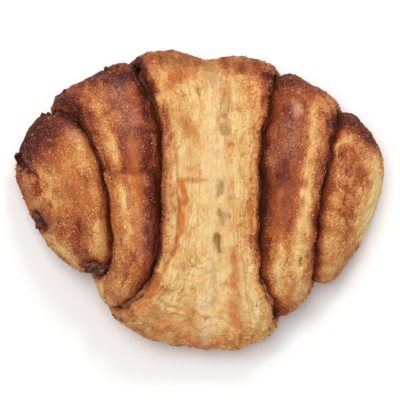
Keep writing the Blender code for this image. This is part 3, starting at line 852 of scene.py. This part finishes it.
def make_piece(name, points, faces, fields):
    """A mesh object whose points carry the fields, and the way that the layers run, as attributes."""
    mesh = bpy.data.meshes.new(name)
    mesh.from_pydata(points.reshape(-1, 3).tolist(), [], faces)
    mesh.validate()
    mesh.shade_smooth()
    for field in BAKED:
        kept = mesh.attributes.new(field, "FLOAT", "POINT")
        kept.data.foreach_set("value", fields[field].astype(np.float32).ravel())
    layers = np.stack([fields["along"], fields["across"], 0 * fields["across"]], axis=-1).astype(np.float32)
    kept = mesh.attributes.new("layers", "FLOAT_VECTOR", "POINT")
    kept.data.foreach_set("vector", layers.ravel())
    return add_object(name, mesh)


def mesh_from_grid(name, grid):
    """The piece of a grid: four-sided faces between its lines, and one face to close each end."""
    rows, count = grid["x"].shape
    index = np.arange(rows * count).reshape(rows, count)
    if grid["ring"]:
        a, b = index[:-1], np.roll(index, -1, axis=1)[:-1]
        c, d = np.roll(index, -1, axis=1)[1:], index[1:]
        ends = [index[0][::-1].tolist(), index[-1].tolist()]
    else:
        after = np.roll(index, -1, axis=0)
        a, b, c, d = index[:, :-1], index[:, 1:], after[:, 1:], after[:, :-1]
        ends = [index[:, 0].tolist(), index[::-1, -1].tolist()]
    quads = np.stack([a, b, c, d], axis=-1).reshape(-1, 4)
    return make_piece(name, grid["baked"], quads.tolist() + ends, grid)


outer_turn = mesh_from_grid("outer_turn", outer_grid)
second_turn = mesh_from_grid("second_turn", second_grid)
core_piece = mesh_from_grid("core_of_roll", core)
for piece in (outer_turn, second_turn, core_piece):
    print(piece.name, len(piece.data.polygons), "faces")

# %% [markdown]
# ## Which way is out
#
# Normals that point into the dough would shade it wrongly. Blender can turn them all outwards, once each
# mesh is closed.

# %% Turn the faces outwards
import bmesh


def face_outwards(piece):
    """Turns a piece's faces outwards, and returns how many of its edges are open."""
    shape = bmesh.new()
    shape.from_mesh(piece.data)
    bmesh.ops.recalc_face_normals(shape, faces=shape.faces)
    open_edges = sum(1 for edge in shape.edges if not edge.is_manifold)
    shape.to_mesh(piece.data)
    shape.free()
    return open_edges


for piece in (outer_turn, second_turn, core_piece):
    print(piece.name, "open edges:", face_outwards(piece))

# %% [markdown]
# ## The material of the crust
#
# Crust colours lie close to one line: cream, gold, tan, red-brown, nearly black. One ramp holds them, and the
# brown attribute, with finer noise added in the shader, says how far along it a point is. Pale specks, partly
# grains of sugar and partly painted glints, make it paler in places. Caramel, chalky, sugary and olive places
# are mixed in after the ramp, and on the pale band soft dabs of cream and gold. On the lobes the sugary places
# and a few chalky ones are painted highlights.

# %% Colours
# Colours are written as eyes count them, 0 to 255.


def colour(red, green, blue):
    """A colour turned into the linear light that shaders use."""
    share = np.array([red, green, blue]) / 255
    linear = np.where(share <= 0.04045, share / 12.92, ((share + 0.055) / 1.055) ** 2.4)
    return (*[float(value) for value in linear], 1.0)


CRUST_RAMP = (
    (0.00, (234, 201, 139)), (0.12, (226, 182, 117)), (0.28, (212, 147, 85)), (0.42, (190, 116, 62)),
    (0.56, (163, 86, 45)), (0.70, (138, 60, 33)), (0.85, (106, 43, 25)), (1.00, (70, 30, 19)),
)
print("ramp colours:", len(CRUST_RAMP))

# %% A small kit for node materials


class Nodes:
    """Adds nodes to one material and joins them."""

    def __init__(self, name):
        self.material = bpy.data.materials.new(name)
        self.material.use_nodes = True
        self.tree = self.material.node_tree
        self.tree.nodes.clear()
        self.shader = self.add("ShaderNodeBsdfPrincipled")
        out = self.add("ShaderNodeOutputMaterial")
        self.tree.links.new(self.shader.outputs["BSDF"], out.inputs["Surface"])
        self.where = self.add("ShaderNodeTexCoord").outputs["Object"]

    def add(self, kind, **settings):
        node = self.tree.nodes.new(kind)
        for key, value in settings.items():
            setattr(node, key, value)
        return node

    def put(self, value, socket):
        """Joins another node's output to a socket, or sets the socket's own number or colour."""
        if isinstance(value, bpy.types.NodeSocket):
            self.tree.links.new(value, socket)
        else:
            socket.default_value = value

    def fill(self, node, values):
        for name, value in values.items():
            self.put(value, node.inputs[name])
        return node

    def attribute(self, name, output="Fac"):
        return self.add("ShaderNodeAttribute", attribute_name=name).outputs[output]

    def sum(self, operation, one, other, clamp=False):
        node = self.add("ShaderNodeMath", operation=operation, use_clamp=clamp)
        return self.fill(node, {0: one, 1: other}).outputs[0]

    def noise(self, vector, scale, detail=3.0, roughness=0.6, bent=0.0):
        node = self.add("ShaderNodeTexNoise")
        values = {"Scale": scale, "Detail": detail, "Roughness": roughness, "Distortion": bent}
        return self.fill(node, {"Vector": vector} | values).outputs["Fac"]

    def stretched(self, vector, scale):
        node = self.add("ShaderNodeMapping")
        return self.fill(node, {"Vector": vector, "Scale": scale}).outputs["Vector"]

    def range(self, value, low, high, to_low, to_high):
        node = self.add("ShaderNodeMapRange")
        values = {"From Min": low, "From Max": high, "To Min": to_low, "To Max": to_high}
        return self.fill(node, {"Value": value} | values).outputs["Result"]

    def ramp(self, value, stops):
        node = self.fill(self.add("ShaderNodeValToRGB"), {"Fac": value})
        elements = node.color_ramp.elements
        while len(elements) < len(stops):
            elements.new(0.5)
        for element, (position, shade) in zip(elements, stops):
            element.position, element.color = position, colour(*shade)
        return node.outputs["Color"]

    def mix(self, factor, shade, tint):
        node = self.add("ShaderNodeMix", data_type="RGBA")
        return self.fill(node, {0: factor, 6: shade, 7: colour(*tint)}).outputs[2]

    def bump(self, height, strength, distance, **normal):
        node = self.add("ShaderNodeBump")
        values = {"Strength": strength, "Distance": distance, "Height": height}
        return self.fill(node, values | normal).outputs["Normal"]

    def finish(self, **values):
        """Fills the shader's own sockets, named with _ for each space, and returns the material."""
        self.fill(self.shader, {name.replace("_", " "): value for name, value in values.items()})
        return self.material


print("node kit ready")

# %% The crust material


def crust_material(name, streaky, patchy, speckle, dashed, grains_seen, dabbed):
    """Browned laminated crust. The numbers say how strongly its colour is changed by streaks of the layers,
    by patches of more heat, by the fine grain, by short pale dashes where a leaf of dough ends, by pale specks
    that are partly single grains of sugar and partly painted glints, and by soft dabs of cream and gold."""
    n = Nodes(name)
    layers = n.attribute("layers", "Vector")
    streaks = n.noise(n.stretched(layers, (0.15, 1.2, 1.0)), 1.0, 5.0, 0.68, 0.7)
    dashes = n.noise(n.stretched(layers, (0.50, 2.2, 1.0)), 1.0, 3.0, 0.6, 0.5)
    fine = n.noise(n.where, 1100.0, 3.0, 0.7)
    patches = n.noise(n.where, 230.0, 4.0, 0.6)
    specks = n.noise(n.where, 2300.0, 1.0, 0.5)
    gather = n.noise(n.where, 190.0, 2.0, 0.5)
    brown = n.attribute("brown")
    for texture, low, high, least, most in (
        (streaks, 0.0, 1.0, -streaky, streaky),
        (fine, 0.0, 1.0, -speckle, speckle),
        (patches, 0.0, 1.0, -patchy, patchy),
        (specks, 0.40, 0.28, 0.0, 0.22),
        (dashes, 0.42, 0.30, 0.0, dashed),
        (dashes, 0.56, 0.70, 0.0, -dashed),
    ):
        brown = n.sum("ADD", brown, n.range(texture, low, high, least, most))
    # painted glints: pale specks, partly grains of sugar, are taken off the brown
    seen = n.range(gather, 0.4, 0.6, 0.3, 1.0)
    grains = n.sum("MULTIPLY", n.range(specks, 0.54, 0.66, 0.0, grains_seen), seen)
    brown = n.sum("SUBTRACT", brown, grains)
    shade = n.ramp(brown, CRUST_RAMP)
    dabs = n.noise(n.stretched(n.where, (1.0, 0.6, 1.0)), 430.0, 2.0, 0.5)
    pale = n.range(brown, 0.12, 0.32, dabbed, 0.0)
    for low, high, tint in ((0.53, 0.63, (240, 212, 156)), (0.47, 0.37, (226, 166, 84))):
        shade = n.mix(n.sum("MULTIPLY", n.range(dabs, low, high, 0.0, 1.0), pale), shade, tint)
    for field, texture, low, high, least, most, tint in (
        ("orange", patches, 0.3, 0.7, 0.55, 1.0, (196, 104, 42)),
        ("chalk", streaks, 0.35, 0.65, 0.35, 0.9, (230, 203, 156)),
        # sugar: a pinkish grey, on the lobes a painted highlight and sheen
        ("sugar", fine, 0.42, 0.58, 0.05, 0.70, (198, 134, 106)),
        ("olive", streaks, 0.35, 0.65, 1.0, 0.80, (162, 124, 72)),
    ):
        share = n.sum("MULTIPLY", n.attribute(field), n.range(texture, low, high, least, most), True)
        shade = n.mix(share, shade, tint)
    syrup = n.attribute("syrup")
    rough = n.sum("SUBTRACT", n.range(fine, 0.3, 0.7, 0.44, 0.64), n.sum("MULTIPLY", syrup, 0.20))
    normal = n.bump(specks, 0.45, 0.0004)
    normal = n.bump(fine, 0.45, 0.0007, Normal=normal)
    normal = n.bump(dashes, 0.35, 0.0006, Normal=normal)
    return n.finish(
        Base_Color=shade,
        Roughness=rough,
        Specular_IOR_Level=0.16,
        Coat_Roughness=0.35,
        Coat_Weight=n.sum("MULTIPLY", syrup, 0.20, True),
        Subsurface_Weight=0.03,
        Subsurface_Radius=(0.0016, 0.0008, 0.0004),
        Subsurface_Scale=1.0,
        Normal=normal,
    )


band_crust = crust_material(
    "pale_crust", streaky=0.22, patchy=0.22, speckle=0.13, dashed=0.10, grains_seen=0.10, dabbed=0.60
)
lobe_crust = crust_material(
    "brown_crust", streaky=0.22, patchy=0.13, speckle=0.15, dashed=0.08, grains_seen=0.27, dabbed=0.0
)
for piece, crust in ((outer_turn, band_crust), (second_turn, lobe_crust), (core_piece, lobe_crust)):
    piece.data.materials.append(crust)
    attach(piece, "root")
    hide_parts("dough_roll")
print("dough dressed")

# %% [markdown]
# ## The filling
#
# Between the turns lies cinnamon sugar, which has melted and baked dark. It shows as a dark line in every
# crease. Where it ends at the front it is painted paler, as painted light that lifts the shade of the creases
# there. It is drawn as its own thin spiral on the same grid, a little lumpy, and with less gloss than the burnt
# syrup.

# %% The filling between the turns
SHOWS, HIDES = 0.5 * MM, 2.4 * MM  # how far it ends outside the lip on top, and inside it underneath
EDGE_STRIP, EDGE_STATIONS = 5 * MM, 16  # the part along each edge, which has close stations


def face_below(turn, x):
    """Level of the dough face that lies next under the sheet."""
    return np.where(turn < TURNS - 1, sheet_outside(turn + 1, x), core_outside(turn - 1, x))


def filling_grid(turn):
    """A thin ring that ends a little outside the lip on top, and inside it underneath."""
    left, right = reach_of_sheet(turn, -1), reach_of_sheet(turn, 1)
    up = smooth(sine_of(turn) / 0.35)
    shows = SHOWS * up - HIDES * (1 - up)
    first, last = -(left + shows), right + shows
    inside_left, inside_right = -(left - EDGE_STRIP), right - EDGE_STRIP
    middle = spread(inside_left, inside_right, HIDDEN_STEPS + 2)[:, 1:-1]
    left_strip = spread(first, inside_left, EDGE_STATIONS)
    xs = np.concatenate([left_strip, middle, spread(inside_right, last, EDGE_STATIONS)], axis=1)
    floor = face_below(turn[:, None], xs)
    end = np.minimum(xs - first[:, None], last[:, None] - xs) / (1.0 * MM)
    thick = np.sqrt(np.clip(end, 0.02, 1))
    lower = floor - 0.01
    upper = floor - 0.03 - (1 - SHEET_SHARE - FILLING_GAP) * thick
    x = np.concatenate([xs, xs[:, ::-1]], axis=1)
    return as_grid("filling", turn, x, np.concatenate([upper, lower[:, ::-1]], axis=1))


filling = filling_grid(steps_round(FILLING_FROM, FILLING_TO))
filling["points"] = place(filling["turn"], filling["x"], filling["level"])
lumpy = 0.45 * cloud(filling["points"] / MM / 2.2, 501) + 0.40 * cloud(filling["points"] / MM / 0.9, 502)
at_edge = smooth((np.abs(filling["x"]) - lip_of(filling["turn"], filling["x"]) + 4 * MM) / (2 * MM))
filling["baked"] = filling["points"] + normals_of(filling) * (lumpy * at_edge * MM)[..., None]
filling["along"], filling["across"] = filling["turn"] * ROUND, filling["x"] / MM
for field in BAKED:
    filling[field] = 0 * filling["x"]
# painted light: the filling is made paler in the shaded creases at the front
front_painted_light = stroke(filling["points"], (112, 312, 132, 300, 150, 272), 10)
front_painted_light = np.maximum(front_painted_light, stroke(filling["points"], (262, 290, 272, 316), 8))
filling["brown"] = 0.80 - 0.65 * front_painted_light
filling_piece = mesh_from_grid("filling", filling)
print("filling:", len(filling_piece.data.polygons), "faces, open edges", face_outwards(filling_piece))

# %% The filling's material
# the tan end is used for the painted light at the front
FILLING_RAMP = ((0.0, (196, 136, 84)), (0.35, (156, 94, 58)), (0.7, (114, 60, 36)), (1.0, (78, 38, 25)))


def filling_material():
    """Baked cinnamon sugar: dark brown, and tan where painted light lifts the shade at the front end."""
    n = Nodes("dark_cinnamon")
    spots = n.noise(n.where, 700.0, 4.0, 0.65)
    brown = n.sum("ADD", n.attribute("brown"), n.range(spots, 0.3, 0.7, 0.28, -0.28))
    return n.finish(
        Base_Color=n.ramp(brown, FILLING_RAMP),
        Roughness=n.range(spots, 0.3, 0.7, 0.35, 0.60),
        Specular_IOR_Level=0.25,
        Normal=n.bump(spots, 0.6, 0.0008),
    )


filling_piece.data.materials.append(filling_material())
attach(filling_piece, "root")
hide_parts("cinnamon_filling")
print("filling dressed")

# %% [markdown]
# ## Flakes that came loose
#
# Laminated dough bakes into leaves, and some of them lift off: thin curled flakes along the cut edges and on
# top. A bump map can't throw their shadows or roughen the outline, so each flake is a small bent plate with a
# thickness. They are picked where the dough's own grid says, they lie along its layers, and all flakes of one
# part of the bun are one mesh.

# %% Places on the dough


def surface_of(grid):
    """The normal, the direction of the layers and the area of the baked surface at each grid point."""
    baked = grid["baked"]
    normal = normals_of({"points": baked, "ring": grid["ring"]})
    round_it, over = np.gradient(baked, axis=0), np.gradient(baked, axis=1)
    area = np.linalg.norm(np.cross(round_it, over), axis=-1)
    layers = round_it - normal * (round_it * normal).sum(-1, keepdims=True)
    return normal, layers / np.maximum(np.linalg.norm(layers, axis=-1, keepdims=True), 1e-12), area


def pick(grid, weight, count, draw):
    """Places drawn at random over a grid, more of them where the weight is high."""
    normal, layers, area = surface_of(grid)
    chance = (area * weight * (grid["crease"] < 0.5)).ravel()
    found = draw.choice(chance.size, count, p=chance / chance.sum())
    places = {key: grid[key].ravel()[found] for key in KEPT}
    places["point"] = grid["baked"].reshape(-1, 3)[found]
    places["normal"], places["layers"] = normal.reshape(-1, 3)[found], layers.reshape(-1, 3)[found]
    return places


def near_lip(grid, width):
    """1 along the cut edge of a sheet, falling off over the width, and 0 on the core, which has none."""
    beyond = np.abs(grid["x"]) - lip_of(grid["turn"], grid["x"])
    return bump(beyond + 1.5 * MM, width) * grid["top"] * (grid["kind"] != "core")


print("share of the band near its cut edges: %.2f" % near_lip(outer_grid, 3 * MM).mean())

# %% The shape of a flake
FLAKE_LONG, FLAKE_WIDE = 6, 4  # points along and across
FLAKE_THICK = 0.10 * MM
FLAKE_SUNK = 0.12 * MM


def flakes_at(places, length, width, lift, draw):
    """Points of one bent plate at each place. Length, width and lift have one value for each flake."""
    count = len(length)
    u = np.linspace(-0.5, 0.5, FLAKE_LONG)[None, :, None]
    v = np.linspace(-0.5, 0.5, FLAKE_WIDE)[None, None, :]
    ragged = draw.uniform(-0.10, 0.10, (2, count, FLAKE_LONG, FLAKE_WIDE))
    taper = 1 - 1.4 * np.abs(u) ** 2.5
    along = (u + ragged[0]) * length[:, None, None]
    across = (v * taper + 0.8 * ragged[1]) * width[:, None, None]
    raised = v + 0.5 + 0.5 * u * draw.uniform(-1, 1, (count, 1, 1))
    height = lift[:, None, None] * np.clip(raised, 0, 1.4) ** 1.6 - FLAKE_SUNK
    sideways = np.cross(places["normal"], places["layers"])
    top = places["point"][:, None, None, :]
    for run, way in ((along, places["layers"]), (across, sideways), (height, places["normal"])):
        top = top + run[..., None] * way[:, None, None, :]
    under = top - FLAKE_THICK * places["normal"][:, None, None, :]
    return np.stack([top, under], axis=1), along, across


def plate_faces():
    """Faces of one plate: its top, its underside and the rim between them."""
    each = FLAKE_LONG * FLAKE_WIDE
    index = np.arange(each).reshape(FLAKE_LONG, FLAKE_WIDE)
    a, b, c, d = index[:-1, :-1], index[1:, :-1], index[1:, 1:], index[:-1, 1:]
    top = np.stack([a, b, c, d], axis=-1).reshape(-1, 4)
    rim = np.concatenate([index[:, 0], index[-1, 1:], index[-2::-1, -1], index[0, -2:0:-1]])
    following = np.roll(rim, -1)
    side = np.stack([following, rim, rim + each, following + each], axis=-1)
    return np.concatenate([top, top[:, ::-1] + each, side])


print("faces of one flake:", len(plate_faces()))

# %% One mesh of flakes


def make_flakes(name, places, sizes, paler, crust, draw):
    """One mesh of flakes. Sizes are lowest and highest length, width and lift in mm, and paler how much
    paler than the dough under it a flake is."""
    count = len(places["point"])
    length, width, lift = (draw.uniform(low, high, count) * MM for low, high in sizes)
    points, along, across = flakes_at(places, length, width, lift, draw)
    points[..., 2] = np.maximum(points[..., 2], 0.2 * MM)
    faces = plate_faces()[None] + (np.arange(count) * 2 * FLAKE_LONG * FLAKE_WIDE)[:, None, None]
    spread_out = np.zeros((count, 2, FLAKE_LONG, FLAKE_WIDE))
    fields = {key: places[key][:, None, None, None] + spread_out for key in KEPT}
    shade = (paler + draw.uniform(-0.10, 0.10, count))[:, None, None, None]
    fields["brown"] = np.clip(fields["brown"] - shade, 0, 1)
    fields["along"] = fields["along"] + along[:, None] / MM
    fields["across"] = fields["across"] + across[:, None] / MM
    piece = make_piece(name, points, faces.reshape(-1, 4).tolist(), fields)
    piece.data.materials.append(crust)
    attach(piece, "root")
    print(name, len(piece.data.polygons), "faces")


print("each flake is %.2f mm thick" % (FLAKE_THICK / MM))

# %% Scatter the flakes
draw = np.random.default_rng(41)
all_over_band = outer_grid["top"] * (1 - outer_grid["cut"])
all_over_lobes = second_grid["top"] * 0.3 + near_lip(second_grid, 2 * MM)
# name, where, weight, how many, sizes, paler, crust
for name, grid, weight, count, sizes, paler, crust in (
    ("flakes_on_the_band", outer_grid, all_over_band, 420,
     ((0.9, 3.0), (0.4, 0.9), (0.15, 0.4)), 0.03, band_crust),
    ("flakes_on_the_edges", outer_grid, near_lip(outer_grid, 1.6 * MM), 420,
     ((0.5, 1.8), (0.3, 0.9), (0.2, 0.6)), -0.10, band_crust),
    ("flakes_on_the_lobes", second_grid, all_over_lobes, 460,
     ((0.5, 1.7), (0.3, 0.8), (0.15, 0.45)), 0.04, lobe_crust),
    ("flakes_on_the_core", core, core["top"], 300,
     ((0.5, 1.9), (0.3, 0.9), (0.15, 0.45)), 0.05, lobe_crust),
):
    make_flakes(name, pick(grid, weight, count, draw), sizes, paler, crust, draw)

# %% [markdown]
# ## The few big flakes on the outline
#
# Seen from above, about a dozen larger flakes break the smooth outline. They stand outwards, so they are
# placed one by one, by the picture's pixels, on the nearest point of the dough.

# %% Flakes that stick out
STANDING = (
    (second_grid, ((107, 70), (119, 69), (57, 106), (66, 92), (74, 114))),
    (core, ((44, 116), (50, 114), (62, 117), (46, 229), (84, 264))),
    (outer_grid, ((140, 66), (264, 68), (262, 326))),
)


def place_at(grid, pixel):
    """The place of the dough's outer face that lies nearest to a pixel, seen from above."""
    target = np.array([(pixel[0] - MIDDLE) * PIXEL, (MIDDLE - pixel[1]) * PIXEL])
    off = np.linalg.norm(grid["baked"][..., :2] - target, axis=-1)
    cost = off - 0.05 * grid["baked"][..., 2] + 1.0 * (grid["crease"] > 0.5)
    return np.unravel_index(np.argmin(cost), cost.shape)


def unit(vectors):
    return vectors / np.linalg.norm(vectors, axis=1, keepdims=True)


found = [(grid, place_at(grid, pixel)) for grid, pixels in STANDING for pixel in pixels]
standing = {key: np.array([grid[key][at] for grid, at in found]) for key in KEPT}
standing["point"] = np.array([grid["baked"][at] for grid, at in found])
UP = np.array([0, 0, 1.0])
standing["layers"] = unit(UP * 0.45 + unit(standing["point"] * [1, 1, 0]))
standing["normal"] = unit(np.cross(standing["layers"], np.cross(UP, standing["layers"])))
STANDING_SIZES = ((1.6, 2.4), (1.2, 1.9), (0.3, 0.7))
make_flakes("standing_flakes", standing, STANDING_SIZES, -0.06, lobe_crust, draw)

# %% [markdown]
# ## Grains of sugar
#
# Coarse sugar from the filling dries on the brown parts and along the cut edges, and gives them their dry
# sparkle. Each grain is a rough eight-sided lump of about 0.2 to 0.7 mm, half sunk in the crust.

# %% Grains
GRAIN_MIDDLE, GRAIN_SPREAD = 0.17, 0.35  # the middle radius in mm, and how unequal they are
GRAIN_LEAST, GRAIN_MOST = 0.09, 0.36  # radii in mm
CORNERS = np.array([(1, 0, 0), (0, 1, 0), (-1, 0, 0), (0, -1, 0), (0, 0, 1), (0, 0, -1)], dtype=float)
LUMP_FACES = [(0, 1, 4), (1, 2, 4), (2, 3, 4), (3, 0, 4), (1, 0, 5), (2, 1, 5), (3, 2, 5), (0, 3, 5)]
SUGAR_RAMP = ((0.0, (234, 192, 150)), (0.35, (208, 144, 106)), (0.65, (166, 94, 66)), (1.0, (92, 42, 28)))


def grain_material():
    """Baked sugar: tan to red-brown from grain to grain, with small bright facets."""
    n = Nodes("dried_sugar")
    spots = n.noise(n.where, 1500.0, 2.0, 0.6)
    brown = n.sum("ADD", n.attribute("brown"), n.range(spots, 0.3, 0.7, -0.15, 0.15))
    return n.finish(
        Base_Color=n.ramp(brown, SUGAR_RAMP),
        Roughness=n.range(spots, 0.3, 0.7, 0.22, 0.45),
        Specular_IOR_Level=0.5,
        Subsurface_Weight=0.15,
        Subsurface_Radius=(0.0006, 0.0003, 0.0002),
        Subsurface_Scale=1.0,
    )


def make_grains(name, places, sugar, draw):
    """One mesh of grains, each turned and shaped by chance."""
    count = len(places["point"])
    radius = draw.lognormal(math.log(GRAIN_MIDDLE), GRAIN_SPREAD, count)
    radius = np.clip(radius, GRAIN_LEAST, GRAIN_MOST) * MM
    lump = CORNERS[None] * draw.uniform(0.6, 1.25, (count, 6, 1)) + draw.uniform(-0.25, 0.25, (count, 6, 3))
    turned = draw.uniform(0, 2 * math.pi, count)
    sideways = np.cross(places["normal"], places["layers"])
    first = np.cos(turned)[:, None] * places["layers"] + np.sin(turned)[:, None] * sideways
    second = np.cross(places["normal"], first)
    points = lump[..., :1] * first[:, None] + lump[..., 1:2] * second[:, None]
    points = points + 0.8 * lump[..., 2:] * places["normal"][:, None]
    points = places["point"][:, None] + points * radius[:, None, None]
    faces = np.array(LUMP_FACES)[None] + (np.arange(count) * 6)[:, None, None]
    fields = {key: places[key][:, None] + np.zeros((count, 6)) for key in KEPT}
    fields["brown"] = np.clip(fields["brown"] - draw.uniform(-0.10, 0.60, count)[:, None], 0, 1)
    piece = make_piece(name, points, faces.reshape(-1, 3).tolist(), fields)
    piece.data.shade_flat()
    piece.data.materials.append(sugar)
    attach(piece, "root")
    print(name, len(piece.data.polygons), "faces")


print("each grain has", len(LUMP_FACES), "sides")

# %% Scatter the grains
sugar = grain_material()
for name, grid, count in (
    ("grains_on_the_edges", outer_grid, 1500),
    ("grains_on_the_lobes", second_grid, 3600),
    ("grains_on_the_core", core, 2600),
):
    weight = near_lip(grid, 1.8 * MM)
    if grid["kind"] != "outer":
        patchy = smooth(0.5 + 1.2 * cloud(grid["points"] / MM / 7, 611))
        sticky = 0.15 + patchy * smooth((grid["brown"] - 0.3) / 0.4) + 2 * grid["sugar"]
        weight = weight + grid["top"] * sticky
    make_grains(name, pick(grid, weight, count, draw), sugar, draw)

# %% [markdown]
# ## Where syrup boiled out
#
# In the front half of the left lobe the melted filling boiled out at two places and burnt into dark lumps,
# a single one and a pair. Each is a fine ball, flattened, dented by noise and pressed into the dough.

# %% Burnt syrup
LEAKS = [((40, 219), (2.0, 3.0, 1.4)), ((100, 271), (2.4, 2.1, 1.4)), ((92, 263), (2.2, 2.4, 0.8))]
DENTS = ((2.2, 0.28), (6.0, 0.18), (14.0, 0.12))  # how many over a ball's radius, and how deep
BURNT_RAMP = ((0.36, (40, 20, 17)), (0.50, (88, 42, 29)), (0.62, (134, 70, 44)))


def leak_material():
    """Burnt syrup: nearly black to red-brown, and glossy in spots."""
    n = Nodes("burnt_syrup")
    spots = n.noise(n.where, 520.0, 4.0, 0.65)
    return n.finish(
        Base_Color=n.ramp(spots, BURNT_RAMP),
        Roughness=n.range(spots, 0.3, 0.7, 0.22, 0.50),
        Specular_IOR_Level=0.35,
        Normal=n.bump(spots, 0.5, 0.0008),
    )


burnt = leak_material()
for number, (pixel, radii) in enumerate(LEAKS):
    ball = bmesh.new()
    bmesh.ops.create_icosphere(ball, subdivisions=5, radius=1.0)
    seat = core["baked"][place_at(core, pixel)]
    corners = np.array([corner.co for corner in ball.verts])
    dented = 1.0
    for pitch, depth in DENTS:
        dented = dented + depth * cloud(corners * pitch + 7 * number, 701)
    corners = seat + corners * radii * MM * dented[:, None]
    for corner, moved in zip(ball.verts, corners):
        corner.co = moved
    mesh = bpy.data.meshes.new("burnt_syrup_%d" % (number + 1))
    ball.to_mesh(mesh)
    ball.free()
    mesh.shade_smooth()
    mesh.materials.append(burnt)
    leak = add_object(mesh.name, mesh)
    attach(leak, "root")
    print(leak.name, "at %.1f, %.1f, %.1f mm" % tuple(seat / MM))

# %% [markdown]
# ## Light, floor and camera
#
# The bun was photographed from straight above, in soft light on white. A big soft lamp overhead, a little to
# the back left, and a smaller one from the back right give the same even light and still show the relief.

# %% Floor
HALF_FLOOR, FLOOR_Z = 0.9, -0.0001  # in metres, the second just below the flat underside
floor_mesh = bpy.data.meshes.new("floor")
corners = [(x * HALF_FLOOR, y * HALF_FLOOR, 0) for x, y in ((-1, -1), (1, -1), (1, 1), (-1, 1))]
floor_mesh.from_pydata(corners, [], [(0, 1, 2, 3)])
floor = add_object("floor", floor_mesh)
floor.location.z = FLOOR_Z
floor_mesh.materials.append(Nodes("white_paper").finish(Base_Color=(0.96, 0.96, 0.96, 1), Roughness=0.9))
floor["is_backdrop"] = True
print("floor", 2 * HALF_FLOOR, "m wide")

# %% Lights


def soft_lamp(name, size, power, location):
    """A square lamp that looks at the bun."""
    lamp = bpy.data.lights.new(name, "AREA")
    lamp.shape, lamp.size, lamp.energy = "SQUARE", size, power
    made = add_object(name, lamp)
    made.location = location
    x, y, z = location
    made.rotation_euler = (math.atan2(math.hypot(x, y), z), 0, math.atan2(x, -y))


soft_lamp("lamp_overhead", 0.45, 4.6, (-0.12, 0.22, 0.9))
soft_lamp("lamp_back", 0.16, 1.5, (0.18, 0.50, 0.60))
world = bpy.data.worlds.new("room")
world.use_nodes = True
world.node_tree.nodes["Background"].inputs["Color"].default_value = (1, 1, 1, 1)
world.node_tree.nodes["Background"].inputs["Strength"].default_value = 0.50
bpy.context.scene.world = world
bpy.context.scene.view_settings.view_transform = "Standard"

# %% Camera
LENS, SENSOR = 180.0, 36.0
FRAME_WIDTH = PICTURE * PIXEL
camera_data = bpy.data.cameras.new("camera")
camera_data.lens, camera_data.sensor_width = LENS, SENSOR
camera = add_object("camera", camera_data)
camera.location = (0, 0, WIDEST_Z + FRAME_WIDTH * LENS / SENSOR)
bpy.context.scene.camera = camera
print("camera %.0f mm above the floor" % (camera.location.z / MM))

# %% [markdown]
# ## Measure and finish
#
# Both the imported solids and the dressed bun are measured, and the dressed bun's size is printed. The dressed
# bun may reach only a little past the imported solids.

# %% Sizes, and the last line
dressed_low, dressed_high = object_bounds()
sizes = {
    "cad": [list(cad_low), list(cad_high)],
    "dressed": [list(dressed_low), list(dressed_high)],
}
print("dressed bun: %.1f x %.1f x %.1f mm" % tuple((b - a) / MM for a, b in zip(dressed_low, dressed_high)))
